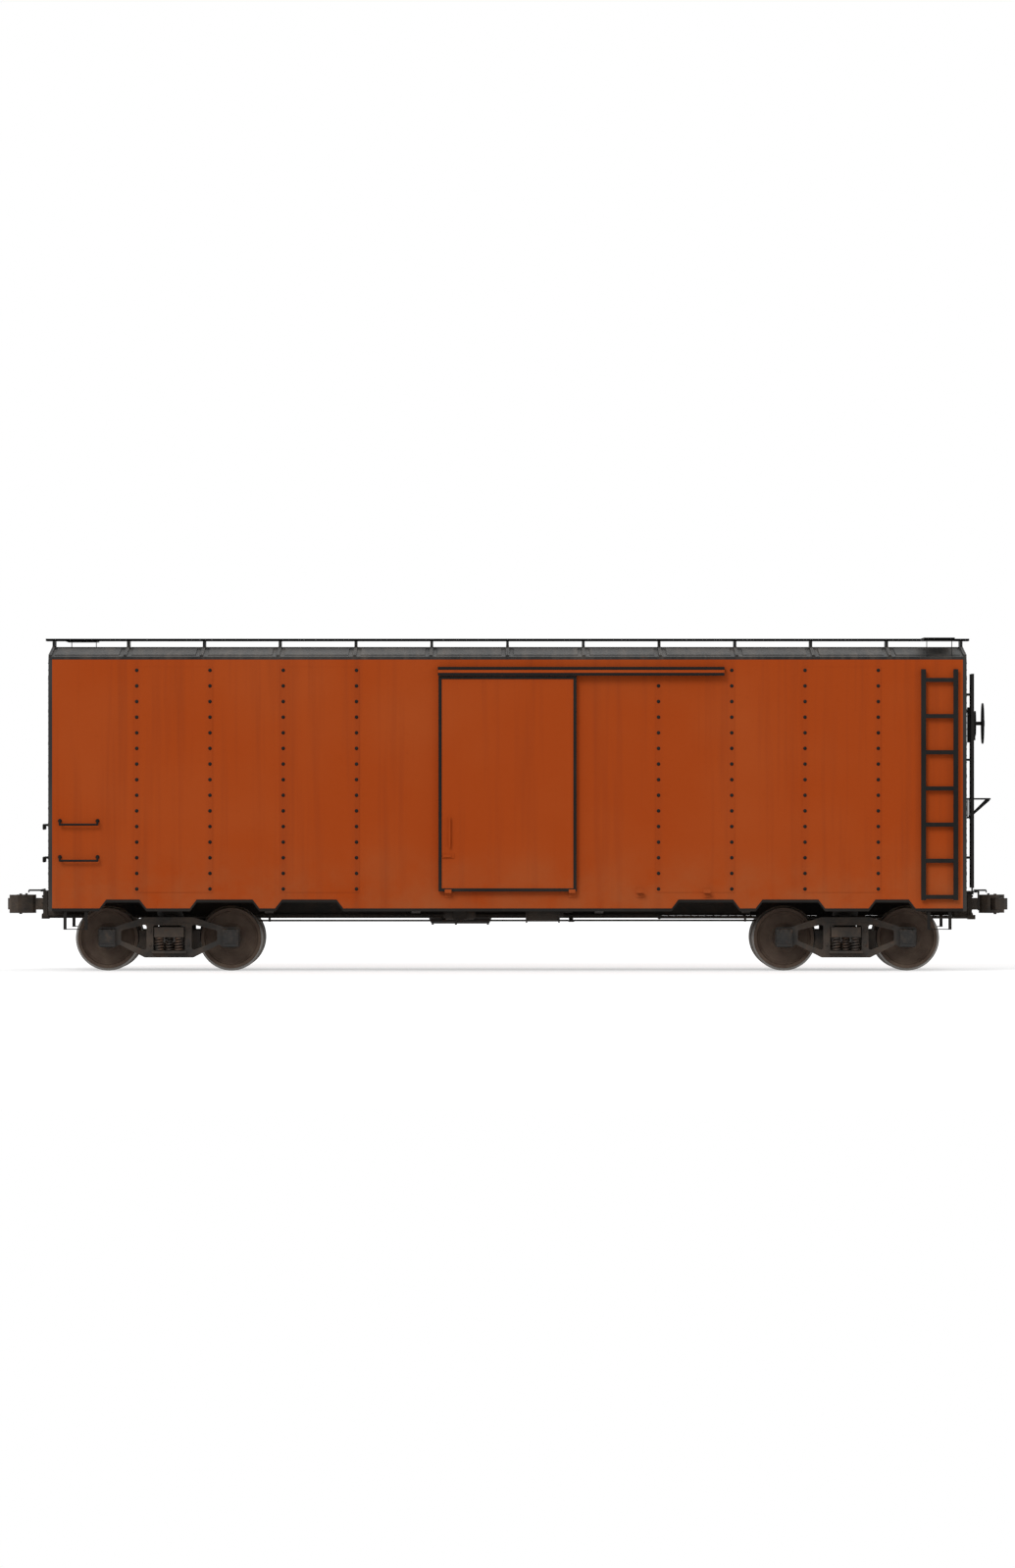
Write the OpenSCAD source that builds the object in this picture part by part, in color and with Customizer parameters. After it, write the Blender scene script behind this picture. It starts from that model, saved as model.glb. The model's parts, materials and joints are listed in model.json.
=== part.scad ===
// Forty-foot steel boxcar with riveted sides, top-hung side doors and two four-wheel trucks.
// X runs along the car, towards the brake end (the B end). The left side faces -Y.
// All heights inside the modules are above the rail; on_rail() lifts the car onto its flanges.

/* [Body] */
// Length over the end walls
body_len = 12446; // [10400:2:15000]
// Width over the side sheets
body_w = 2896; // [2420:2:3480]
// Height inside, from the floor to the side plates
inside_h = 3048; // [2540:2:3660]
// Thickness of a whole side wall
side_wall_t = 51; // [43:1:61]
// Thickness of a whole end wall, without its ribs
end_wall_t = 51; // [43:1:61]
// Width over the roof's eaves
eave_w = 2845; // [2380:1:3400]
// Rise of the roof from the eaves to the ridge
roof_rise = 150; // [125:1:180]
// Number of roof panels
roof_panels = 12; // [10:1:14]

/* [Doors] */
// Clear width of each doorway
door_open_w = 1829; // [1525:1:2195]
// Depth of the header between the inside height and the top of each doorway
header_h = 203; // [169:1:244]
// Overlap of the door on each side of its doorway
door_lap = 20; // [16:1:24]
// Thickness of the door leaf
door_t = 45; // [38:1:54]
// Travel of the door along its track
door_travel = 1900; // [1600:1:2280]
// Height of the door track's hood
track_h = 119; // [100:1:143]
// Reach of the door track beyond the side sheets
track_reach = 114; // [112:1:137]

/* [Underframe] */
// Depth of the centre sill
centre_sill_h = 329; // [275:1:380]
// Width of the centre sill over its webs
centre_sill_w = 352; // [300:1:420]
// Thickness of the floor boards
floor_t = 57; // [48:1:68]
// Distance from the end of the body to the truck centre
truck_overhang = 1623; // [1560:1:1900]
// Depth of the side sill at its tabs
sill_depth = 258; // [225:1:310]
// Height of the notches between the tabs
tab_depth = 120; // [100:1:144]
// Reach of the coupler's pulling face beyond the end wall
coupler_reach = 533; // [445:1:640]

/* [Trucks] */
// Diameter of a wheel at the tread
wheel_d = 838; // [700:1:1006]
// Height of a wheel flange
flange_h = 25; // [21:1:30]
// Distance between the axles of a truck
wheelbase = 1676; // [1520:1:2010]
// Distance between the backs of the two wheels on an axle
back_to_back = 1348; // [1124:1:1400]
// Distance between the journal centres of an axle
journal_span = 1956; // [1900:1:2100]
// Radius of an axle's journal
journal_r = 70; // [60:1:74]

/* [Ladders] */
// Number of rungs on a side ladder
ladder_rungs = 7; // [6:1:8]
// Distance between the ladder's stiles, on centres
ladder_w = 437; // [364:1:524]
// Width of a ladder stile
stile_w = 66; // [55:1:79]
// Height of a ladder rung
rung_h = 56; // [46:1:67]

/* [Hidden] */

// Colours
brown = [0.61, 0.24, 0.0];
black = [0.06, 0.06, 0.06];
cast = [0.13, 0.12, 0.11];
steel = [0.42, 0.40, 0.38];
timber = [0.55, 0.42, 0.28];

// Fine arcs on everything that turns or is turned
$fn = 48;
seat_gap = 0.3;
run_gap = 0.08;
eps = 1;

// Heights above the rail, from the axles up
axle_h = wheel_d / 2;
centre_plate_h = axle_h + 235;
centre_plate_t = 65;
centre_plate_r = 165;
bowl_depth = 25;
frame_bottom = centre_plate_h + centre_plate_t;
frame_top = frame_bottom + centre_sill_h;
stringer_h = 76;
cross_top = frame_top - stringer_h;
floor_top = frame_top + floor_t;
side_plate_h = 100;
wall_top = floor_top + inside_h + 49;
roof_edge_h = 40;
eave_h = wall_top + roof_edge_h;
ridge_h = eave_h + roof_rise;
sill_bottom = frame_top - sill_depth;
coupler_h = frame_top - 172;

// Half sizes and places along the car
half_len = body_len / 2;
half_w = body_w / 2;
half_eave = eave_w / 2;
inner_x = half_len - end_wall_t;
inner_y = half_w - side_wall_t;
truck_x = half_len - truck_overhang;
web_t = 12;
half_sill = centre_sill_w / 2;
sill_web_y = half_w - web_t;

// Side sheets: seams evenly spaced between the door panel and the end panel
seams = 4;
door_panel_w = 1132;
end_panel_w = 1198;
first_seam = door_open_w / 2 + door_panel_w;
seam_pitch = (half_len - end_panel_w - first_seam) / (seams - 1);
lap_w = 35;
lap_t = 5;

// Side sill tabs, measured back from the truck centre
ramp = 92;
bolster_tab = 295;
small_tab = 107;
small_tab_x = truck_x - 1344;
centre_tab_x = truck_x - 2375;
end_tab = 692;
edge_bar_h = 40;
edge_bar_t = 6;
sill_flange = 56;

// Cross members
bearer_xs = [small_tab_x, min(centre_tab_x, 1250)];
bearer_w = 120;
stringer_ys = [half_w - 858, half_w - 448];
stringer_w = 60;

// Doors and their tracks
door_w = door_open_w + 2 * door_lap;
door_gap = 24;
door_y = half_w + door_gap;
door_face = door_y + door_t;
door_bottom = floor_top - 45;
door_open_top = floor_top + inside_h - header_h;
door_top = door_open_top + 35;
frame_w = 42;
frame_t = 8;
track_bottom = door_top - 1;
track_top = track_bottom + track_h;
track_y = half_w + track_reach;
track_t = 8;
track_ledge_h = track_bottom + 26;
roller_r = 30;
roller_x = door_w / 2 - 285;
roller_z = track_ledge_h + 10 + roller_r;
strap_y = half_w + 60;
strap_t = 8;
handle_x = -door_w / 2 + 150;
handle_z = door_bottom + 640;
handle_len = 330;
handle_off = 44;
guide_xs = [-door_w / 2 + 130, door_w / 2 - 60, door_w / 2 + 860, door_w / 2 + door_travel - 130];

// Ladders
ladder_x = half_len - 368;
ladder_bottom = sill_bottom + 152;
ladder_top = wall_top - 130;
rung_bottom = ladder_bottom + 44;
rung_pitch = (ladder_top - 146 - rung_bottom) / (ladder_rungs - 1);
ladder_off = 62;
ladder_t = 10;
end_ladder_y = half_w - 348;

// End walls
rib_count = 7;
rib_w = 190;
rib_out = 55;
rib_r = (rib_w * rib_w / 4 + rib_out * rib_out) / (2 * rib_out);
rib_half = half_w - 640;
rib_taper = 470;
rib_first = floor_top + 190;
rib_pitch = (wall_top - 250 - rib_first) / (rib_count - 1);
dart_r = 60;
dart_out = 24;
dart_rise = 200;
dart_fall = 240;
coupler_slot_w = 440;

// Couplers: striking casting, shank and head
striker_x = half_len + 127;
striker_w = 400;
striker_h = 320;
shank_w = 130;
shank_h = 160;
pull_x = half_len + coupler_reach;
head_h = 250;
knuckle_x = pull_x - 85;
knuckle_y = 118;
knuckle_pin_r = 20;
lug_h = 42;
shank_len = 730;
butt_r = 80;
butt_pin_r = 38;
butt_x = pull_x - shank_len;
pocket_t = 25;
swing_gap = 30;

// Hand brake at the B end
brake_y = 520;
brake_wheel_z = wall_top - 860;
brake_wheel_r = 280;
brake_step_z = brake_wheel_z - 1040;

// Trucks
half_base = wheelbase / 2;
rim_w = 145;
wheel_seat_r = 89;
journal_y = journal_span / 2;
frame_y = journal_y;
side_frame_t = 120;
seat_z = -170;
bolster_half = 200;
window_half = 215;
spring_r = 60;
bowl_r = 190;
axle_end = journal_y + 137;
shoe_gap = 8;
beam_x = window_half + 47;
beam_t = 40;

// Height of the roof's outer slope at a distance y from the ridge
function roof_z(y) = eave_h + roof_rise * (1 - abs(y) / half_eave);

// A polygon's corners rounded with arcs
function unit(v) = v / norm(v);
function turn(a) = a > 180 ? a - 360 : a < -180 ? a + 360 : a;
function corner(p, q, s, r, n) =
    let (a = unit(p - q), b = unit(s - q), half = acos(a * b) / 2,
         c = q + unit(a + b) * r / sin(half),
         t0 = q + a * r / tan(half) - c, t1 = q + b * r / tan(half) - c,
         a0 = atan2(t0.y, t0.x), sweep = turn(atan2(t1.y, t1.x) - a0))
    [for (i = [0:n]) c + r * [cos(a0 + sweep * i / n), sin(a0 + sweep * i / n)]];
function rounded(pts, r, n = 3) =
    let (m = len(pts))
    [for (i = [0:m - 1]) each corner(pts[(i + m - 1) % m], pts[i], pts[(i + 1) % m], r, n)];
// The right half of a symmetric outline, closed with its mirror image
function mirrored(pts) =
    let (m = len(pts)) concat(pts, [for (i = [m - 1:-1:0]) [-pts[i].x, pts[i].y]]);

// A box between two values on each axis
module block(x, y, z) {
    translate([x[0], y[0], z[0]]) cube([x[1] - x[0], y[1] - y[0], z[1] - z[0]]);
}

// An outline in the X-Z plane, given a thickness along Y
module plate_xz(pts, y) {
    translate([0, y[1], 0]) rotate([90, 0, 0]) linear_extrude(y[1] - y[0]) polygon(pts);
}

// An outline in the Y-Z plane, given a length along X
module bar_yz(pts, x) {
    translate([x[0], 0, 0]) rotate([90, 0, 90]) linear_extrude(x[1] - x[0]) polygon(pts);
}

module rod_x(r, x, y, z) {
    translate([x[0], y, z]) rotate([0, 90, 0]) cylinder(r = r, h = x[1] - x[0]);
}

module rod_y(r, x, y, z) {
    translate([x, y[0], z]) rotate([-90, 0, 0]) cylinder(r = r, h = y[1] - y[0]);
}

module rod_z(r, x, y, z) {
    translate([x, y, z[0]]) cylinder(r = r, h = z[1] - z[0]);
}

module on_rail() {
    translate([0, 0, flange_h]) children();
}

// The car is the same on its right side and at its A end, turned half a turn
module turned() {
    rotate([0, 0, 180]) children();
}

module both_ways() {
    children();
    turned() children();
}

module both_y() {
    children();
    mirror([0, 1, 0]) children();
}

module both_x() {
    children();
    mirror([1, 0, 0]) children();
}

// ---------- Underframe ----------

module centre_sill() {
    flange = 94;
    color(black) both_y()
    bar_yz([
        [half_sill - web_t, frame_bottom], [half_sill + flange, frame_bottom],
        [half_sill + flange, frame_bottom + web_t], [half_sill, frame_bottom + web_t],
        [half_sill, frame_top - web_t], [half_sill - web_t, frame_top - web_t]
    ], [-inner_x + 90, inner_x - 90]);
}

// Plate along the top of both webs
module centre_sill_cover() {
    color(black)
    block([-inner_x + 90, inner_x - 90], [-half_sill, half_sill], [frame_top - web_t, frame_top]);
}

// One half of a bolster, from the centre sill's web out to the side sill
module bolster_half_beam() {
    body = 210;
    plate = 340;
    cover = 14;
    low = frame_bottom + web_t;
    knee = 620;
    tip = sill_bottom + tab_depth + 20;
    web = [[half_sill, low + cover], [knee, low + cover], [sill_web_y, tip + cover],
           [sill_web_y, cross_top - cover], [half_sill, cross_top - cover]];
    under = [[half_sill + 94, low - web_t], [knee, low - web_t], [sill_web_y, tip], [sill_web_y, tip + cover],
             [knee, low + cover], [half_sill, low + cover], [half_sill, low], [half_sill + 94, low]];
    bar_yz(web, [-body / 2, body / 2]);
    bar_yz(under, [-plate / 2, plate / 2]);
    block([-plate / 2, plate / 2], [half_sill, sill_web_y], [cross_top - cover, cross_top]);
}

module body_bolsters() {
    pad_y = 635;
    pad_r = 55;
    pad_low = centre_plate_h + 41;
    color(black)
    for (x = [-truck_x, truck_x]) translate([x, 0, 0]) {
        both_y() union() {
            bolster_half_beam();
            block([-70, 70], [pad_y - pad_r, pad_y + pad_r], [pad_low, frame_bottom + 40]);
            // jacking pad beside the side sill
            block([-90, 90], [sill_web_y - 150, sill_web_y],
                  [sill_bottom + tab_depth, sill_bottom + tab_depth + 90]);
        }
        // centre plate under the sill, with its filler between the webs
        union() {
            rod_z(centre_plate_r, 0, 0, [centre_plate_h + seat_gap, frame_bottom]);
            block([-170, 170], [-half_sill + web_t, half_sill - web_t], [frame_bottom, frame_top - web_t]);
        }
    }
}

module crossbearer_half(x) {
    tip = sill_bottom + tab_depth + 30;
    web = [[half_sill, frame_bottom + web_t + 10], [sill_web_y, tip + 10],
           [sill_web_y, cross_top - 10], [half_sill, cross_top - 10]];
    under = [[half_sill, frame_bottom + web_t], [sill_web_y, tip], [sill_web_y, tip + 10],
             [half_sill, frame_bottom + web_t + 10]];
    translate([x, 0, 0]) {
        bar_yz(web, [-6, 6]);
        bar_yz(under, [-bearer_w / 2, bearer_w / 2]);
        block([-bearer_w / 2, bearer_w / 2], [half_sill, sill_web_y], [cross_top - 10, cross_top]);
    }
}

module crosstie_half(x) {
    depth = 64;
    translate([x, 0, 0]) {
        block([-4, 4], [half_sill, sill_web_y], [cross_top - depth, cross_top]);
        block([-4, 50], [half_sill, sill_web_y], [cross_top - 8, cross_top]);
        block([-4, 50], [half_sill, sill_web_y], [cross_top - depth, cross_top - depth + 8]);
    }
}

module crossbearers() {
    color(black) {
        both_y() both_x() for (x = bearer_xs) crossbearer_half(x);
        both_y() both_x() crosstie_half((bearer_xs[0] + bearer_xs[1]) / 2);
        both_y() both_x() crosstie_half((truck_x + inner_x) / 2);
        both_y() crosstie_half(0);
    }
}

module floor_stringers() {
    color(black)
    both_y() for (y = stringer_ys)
        bar_yz([
            [y - stringer_w / 2, cross_top], [y + 4, cross_top], [y + 4, frame_top - 8],
            [y + stringer_w / 2, frame_top - 8], [y + stringer_w / 2, frame_top],
            [y - 4, frame_top], [y - 4, cross_top + 8], [y - stringer_w / 2, cross_top + 8]
        ], [-inner_x + 90, inner_x - 90]);
}

// Channel across the end, with the striking casting that the coupler's shank passes through
module end_sill() {
    channel = 90;
    slot_w = shank_w + 2 * swing_gap;
    slot_h = shank_h + 50;
    back = inner_x - channel;
    union() {
        difference() {
            union() {
                block([inner_x - 12, inner_x], [-sill_web_y, sill_web_y], [sill_bottom + tab_depth, frame_top]);
                block([back, inner_x], [-sill_web_y, sill_web_y], [frame_top - 12, frame_top]);
                block([back, inner_x], [-sill_web_y, sill_web_y],
                      [sill_bottom + tab_depth, sill_bottom + tab_depth + 12]);
                block([back, striker_x - 30], [-striker_w / 2, striker_w / 2],
                      [coupler_h - striker_h / 2, coupler_h + striker_h / 2]);
                block([striker_x - 60, striker_x], [-striker_w / 2 - 15, striker_w / 2 + 15],
                      [coupler_h - striker_h / 2 - 15, coupler_h + striker_h / 2 + 15]);
            }
            block([back - eps, striker_x + eps], [-slot_w / 2, slot_w / 2],
                  [coupler_h - slot_h / 2, coupler_h + slot_h / 2]);
        }
        // carrier iron under the shank
        block([striker_x - 50, striker_x - 10], [-slot_w / 2, slot_w / 2],
              [coupler_h - slot_h / 2, coupler_h - shank_h / 2]);
    }
    // plates of the draft pocket, above and below the coupler's butt
    half_pocket = half_sill - web_t;
    for (z = [coupler_h - shank_h / 2 - seat_gap - pocket_t, coupler_h + shank_h / 2 + seat_gap])
        difference() {
            block([butt_x - 130, back - seat_gap], [-half_pocket, half_pocket], [z, z + pocket_t]);
            rod_z(butt_pin_r + run_gap, butt_x, 0, [z - eps, z + pocket_t + eps]);
        }
}

module end_sills() {
    color(black) both_ways() end_sill();
}

// Lower edge of the side sill, from the middle of the car to its end
function sill_edge(top) = [
    [centre_tab_x, 0], [centre_tab_x + ramp, top],
    [small_tab_x - small_tab - ramp, top], [small_tab_x - small_tab, 0],
    [small_tab_x + small_tab, 0], [small_tab_x + small_tab + ramp, top],
    [truck_x - bolster_tab - ramp, top], [truck_x - bolster_tab, 0],
    [truck_x + bolster_tab, 0], [truck_x + bolster_tab + ramp, top],
    [half_len - end_tab - ramp, top], [half_len - end_tab, 0],
    [inner_x, 0]
];
function lifted(pts, z) = [for (p = pts) [p.x, p.y + z]];
function flipped(pts) = [for (i = [len(pts) - 1:-1:0]) [-pts[i].x, pts[i].y]];
function backwards(pts) = [for (i = [len(pts) - 1:-1:0]) pts[i]];

module side_sill() {
    edge = lifted(sill_edge(tab_depth), sill_bottom);
    color(brown) {
        plate_xz(concat(flipped(edge), edge, [[inner_x, frame_top], [-inner_x, frame_top]]),
                 [-half_w, -sill_web_y]);
        block([-inner_x + 90, inner_x - 90], [-sill_web_y, -sill_web_y + sill_flange],
              [frame_top - 10, frame_top]);
        // threshold of the doorway, level with the floor
        block([-door_open_w / 2, door_open_w / 2], [-half_w, -inner_y], [frame_top, floor_top]);
    }
}

module sill_edge_bar() {
    low = lifted(sill_edge(tab_depth), sill_bottom);
    whole = concat(flipped(low), low);
    plate_xz(concat(whole, backwards(lifted(whole, edge_bar_h))),
             [-half_w - edge_bar_t, -half_w]);
}

module sill_edge_bars() {
    color(black) both_ways() sill_edge_bar();
}

// Boards between the walls
module floor_boards() {
    color(timber) block([-inner_x, inner_x], [-inner_y, inner_y], [frame_top, floor_top]);
}

// ---------- Walls, ends and roof ----------

// One side wall between the doorway and an end, every other sheet lapped over its neighbours
module side_wall(dir) {
    edges = concat([door_open_w / 2], [for (i = [0:seams - 1]) first_seam + i * seam_pitch], [inner_x]);
    color(brown)
    mirror([dir < 0 ? 1 : 0, 0, 0]) union() {
        block([door_open_w / 2, inner_x], [-half_w, -inner_y], [frame_top, wall_top - side_plate_h]);
        for (i = [1:2:len(edges) - 2])
            block([edges[i] - lap_w, edges[i + 1] + lap_w], [-half_w - lap_t, -half_w + eps],
                  [frame_top, wall_top - side_plate_h]);
    }
}

// Chord along the top of a side wall, deeper over the doorway
module side_plate() {
    color(brown) {
        block([-inner_x, inner_x], [-half_w, -inner_y], [wall_top - side_plate_h, wall_top]);
        block([-door_open_w / 2, door_open_w / 2], [-half_w, -inner_y],
              [door_open_top, wall_top - side_plate_h]);
    }
}

// A rib of the end wall: a shallow roll that tapers out towards both corner posts
module end_rib(z) {
    deep = rib_r - rib_out;
    translate([half_len - deep, 0, z]) both_y() rotate([-90, 0, 0]) {
        cylinder(r = rib_r, h = rib_half - rib_taper);
        translate([0, 0, rib_half - rib_taper]) cylinder(r1 = rib_r, r2 = deep, h = rib_taper);
    }
}

module end_dart(z) {
    deep = dart_r - dart_out;
    inner = rib_half - rib_taper;
    translate([half_len - deep, 0, z]) both_y() translate([0, inner, 0]) rotate([-90, 0, 0]) {
        cylinder(r1 = deep, r2 = dart_r, h = dart_rise);
        translate([0, 0, dart_rise]) cylinder(r1 = dart_r, r2 = deep, h = dart_fall);
    }
}

module end_wall() {
    gable_y = half_eave - 32;
    outline = mirrored([
        [0, roof_z(0) - 45], [gable_y, wall_top], [half_w, wall_top], [half_w, sill_bottom],
        [coupler_slot_w / 2, sill_bottom], [coupler_slot_w / 2, frame_top + 15], [0, frame_top + 15]
    ]);
    color(black)
    union() {
        bar_yz(outline, [inner_x, half_len]);
        intersection() {
            union() {
                for (i = [0:rib_count - 1]) end_rib(rib_first + i * rib_pitch);
                for (i = [0:rib_count - 2]) end_dart(rib_first + (i + 0.5) * rib_pitch);
            }
            block([half_len - eps, half_len + rib_out + eps], [-half_w, half_w], [floor_top, wall_top]);
        }
    }
}

// A strip that follows both slopes of the roof, raised above it
function roof_strip(y0, y1, low, high) = [
    [y0, roof_z(y0) + low], [y0, roof_z(y0) + high], [y1, roof_z(y1) + high], [y1, roof_z(y1) + low]
];

seam_cap_h = 25;
panel_rise = 16;

module roof() {
    pitch = body_len / roof_panels;
    seam_w = 40;
    color(black)
    union() {
        bar_yz(mirrored([
            [0, roof_z(0)], [half_eave, eave_h], [half_eave, wall_top], [half_eave - 32, wall_top],
            [0, roof_z(0) - 45]
        ]), [-half_len, half_len]);
        for (i = [0:roof_panels]) {
            x = min(max(-half_len + i * pitch, -half_len + seam_w / 2), half_len - seam_w / 2);
            both_y() bar_yz(roof_strip(0, half_eave - 12, -4, seam_cap_h), [x - seam_w / 2, x + seam_w / 2]);
        }
        for (i = [0:roof_panels - 1])
            both_y() bar_yz([
                [290, roof_z(290) - 4], [335, roof_z(335) + panel_rise],
                [half_eave - 135, roof_z(half_eave - 135) + panel_rise],
                [half_eave - 90, roof_z(half_eave - 90) - 4]
            ], [-half_len + i * pitch + 85, -half_len + (i + 1) * pitch - 85]);
    }
}

board_gap = 55;
board_t = 30;
board_w = 470;
board_h = ridge_h + seam_cap_h + board_gap;
board_over = 90;

// Walkway along the ridge on saddles, with a cross walkway over each side ladder
module running_board() {
    pitch = body_len / roof_panels;
    saddle_w = 36;
    half_board = board_w / 2;
    cross_w = 420;
    cross_end = half_eave - 20;
    leg_y = half_eave - 60;
    color(timber) {
        union() {
            block([-half_len - board_over, half_len + board_over], [-half_board, half_board],
                  [board_h, board_h + board_t]);
            for (i = [0:roof_panels]) {
                x = min(max(-half_len + i * pitch, -half_len + 20), half_len - 20);
                bar_yz(mirrored([
                    [0, board_h + eps], [half_board, board_h + eps],
                    [half_board, roof_z(half_board) + seam_cap_h + seat_gap],
                    [0, ridge_h + seam_cap_h + seat_gap]
                ]), [x - saddle_w / 2, x + saddle_w / 2]);
            }
            both_ways() {
                block([ladder_x - cross_w / 2, ladder_x + cross_w / 2], [-cross_end, -half_board + eps],
                      [board_h, board_h + board_t]);
                for (s = [-1, 1])
                    bar_yz([
                        [-leg_y - 18, roof_z(leg_y + 18) + seat_gap],
                        [-leg_y + 18, roof_z(leg_y - 18) + seat_gap],
                        [-leg_y + 18, board_h + eps], [-leg_y - 18, board_h + eps]
                    ], [ladder_x + s * (cross_w / 2 - 40) - 5, ladder_x + s * (cross_w / 2 - 40) + 5]);
            }
        }
    }
}

// ---------- Doors ----------

// Hood with the ledge that the door's rollers run on
module door_track() {
    x = [-door_w / 2 - 9, door_w / 2 + door_travel + 104];
    stop_t = 10;
    color(black) {
        bar_yz([
            [-half_w - lap_t, track_top], [-track_y, track_top], [-track_y, track_top - 40],
            [-track_y + 4, track_top - 40], [-track_y + 4, track_bottom + 38], [-track_y, track_bottom + 38],
            [-track_y, track_bottom], [-track_y + track_t, track_bottom],
            [-track_y + track_t, track_top - track_t], [-half_w - lap_t - track_t, track_top - track_t],
            [-half_w - lap_t - track_t, track_ledge_h + 10], [-half_w - 52, track_ledge_h + 10],
            [-half_w - 52, track_ledge_h], [-half_w - lap_t, track_ledge_h]
        ], x);
        for (end = [x[0], x[1] - stop_t])
            block([end, end + stop_t], [-track_y + track_t, -half_w - lap_t - track_t],
                  [track_ledge_h + 10, track_top - track_t]);
    }
}

// Leaf with its stiffeners on the inside, and the two rollers that carry it
module door() {
    skin = 12;
    rim = 70;
    bays = 5;
    bay_h = (door_top - door_bottom - rim * (bays + 1)) / bays;
    color(brown)
    union() {
        difference() {
            block([-door_w / 2, door_w / 2], [-door_face, -door_y], [door_bottom, door_top]);
            for (i = [0:bays - 1])
                block([-door_w / 2 + rim, door_w / 2 - rim], [-door_y - door_t + skin, -door_y + eps],
                      [door_bottom + rim + i * (bay_h + rim), door_bottom + (i + 1) * (bay_h + rim)]);
        }
        // handle and hasp beside the edge that opens first
        for (z = [handle_z, handle_z + handle_len])
            block([handle_x - 12, handle_x + 12], [-door_face - handle_off, -door_face + eps], [z - 12, z + 12]);
        block([handle_x - 12, handle_x + 12], [-door_face - handle_off, -door_face - handle_off + 14],
              [handle_z - 40, handle_z + handle_len + 40]);
        block([-door_w / 2 + frame_w + 8, handle_x + 60], [-door_face - 10, -door_face + eps],
              [handle_z - 190, handle_z - 130]);
        block([-door_w / 2 + frame_w + 20, handle_x + 20], [-door_face - 24, -door_face - 9],
              [handle_z - 176, handle_z - 144]);
        for (x = [-roller_x, roller_x]) {
            block([x - 60, x + 60], [-strap_y - strap_t, -strap_y], [door_top - eps, roller_z + 20]);
            rod_y(roller_r - seat_gap, x, [-strap_y - eps, -half_w - 28], roller_z);
        }
    }
}

// Angle bars round the door's outer face
module door_frame() {
    y = [-door_face - frame_t, -door_face];
    color(black)
    difference() {
        block([-door_w / 2, door_w / 2], y, [door_bottom, door_top - 6]);
        block([-door_w / 2 + frame_w, door_w / 2 - frame_w], [y[0] - eps, y[1] + eps],
              [door_bottom + frame_w, door_top - 6 - frame_w]);
    }
}

// Brackets on the side sill that keep the foot of the door against the car
module door_guides() {
    guide_w = 90;
    lip_y = door_face + frame_t + 6;
    foot = min(door_bottom - 8, frame_top - 1);
    color(brown)
    both_ways() for (x = guide_xs) union() {
        block([x - guide_w / 2, x + guide_w / 2], [-half_w - 10, -half_w], [foot - 70, foot]);
        block([x - guide_w / 2, x + guide_w / 2], [-lip_y - 8, -half_w], [foot - 8, foot]);
        block([x - guide_w / 2, x + guide_w / 2], [-lip_y - 8, -lip_y], [foot - 8, door_bottom + 28]);
    }
}

// ---------- Ladders, handholds and steps ----------

side_rungs = [for (i = [0:ladder_rungs - 1]) rung_bottom + i * rung_pitch];
side_feet = [side_rungs[0] + rung_pitch / 2, (side_rungs[3] + side_rungs[2]) / 2, ladder_top - 40];
end_ladder_bottom = rib_first - 190;
end_ladder_top = ladder_top - 60;
end_rungs = [for (z = side_rungs) if (z > end_ladder_bottom + 30 && z < end_ladder_top - 30) z];
end_feet = [for (i = [0, 3, 5]) rib_first + (i + 0.5) * rib_pitch];
end_ladder_off = rib_out + 40;

// Two stiles, angles that face each other, standing off the sheet at y = 0 on their feet
module stiles(bottom, top, feet, off) {
    for (s = [-1, 1]) translate([s * ladder_w / 2, 0, 0]) union() {
        block([-stile_w / 2, stile_w / 2], [-off - ladder_t, -off], [bottom, top]);
        block(s > 0 ? [stile_w / 2 - 8, stile_w / 2] : [-stile_w / 2, -stile_w / 2 + 8],
              [-off - eps, -off + 30], [bottom, top]);
        for (z = feet)
            block([-stile_w / 2, stile_w / 2], [-off - eps, 0], [z - 15, z + 15]);
    }
}

// Angle rungs between the stiles, with the tread on top
module rungs(zs, off) {
    x = [-ladder_w / 2 + stile_w / 2, ladder_w / 2 - stile_w / 2];
    for (z = zs) union() {
        block(x, [-off - ladder_t + 1, -off - 1], [z - rung_h / 2, z + rung_h / 2]);
        block(x, [-off - 2, -off + 26], [z + rung_h / 2 - 8, z + rung_h / 2]);
    }
}

module on_side_ladder() {
    translate([ladder_x, -half_w, 0]) children();
}

module on_end_ladder() {
    translate([half_len, -end_ladder_y, 0]) rotate([0, 0, 90]) children();
}

// The end ladders' feet stand on the flat sheet between the ribs
module ladder_stiles() {
    color(black) both_ways() {
        on_side_ladder() stiles(ladder_bottom, ladder_top, side_feet, ladder_off);
        on_end_ladder() stiles(end_ladder_bottom, end_ladder_top, end_feet, end_ladder_off);
    }
}

module ladder_rungs() {
    color(black) both_ways() {
        on_side_ladder() rungs(side_rungs, ladder_off);
        on_end_ladder() rungs(end_rungs, end_ladder_off);
    }
}

// Drop grab: a bar hung below its two feet, standing off y = 0
module drop_grab(width) {
    r = 15;
    drop = 50;
    off = 68;
    rod_x(r, [-width / 2, width / 2], -off, 0);
    for (x = [-width / 2, width / 2]) {
        translate([x, -off, 0]) sphere(r = r);
        rod_z(r, x, -off, [0, drop]);
        translate([x, -off, drop]) sphere(r = r);
        rod_y(r, x, [-off, -lap_t], drop);
        rod_y(r * 1.8, x, [-lap_t - 4, 0], drop);
    }
}

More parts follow.
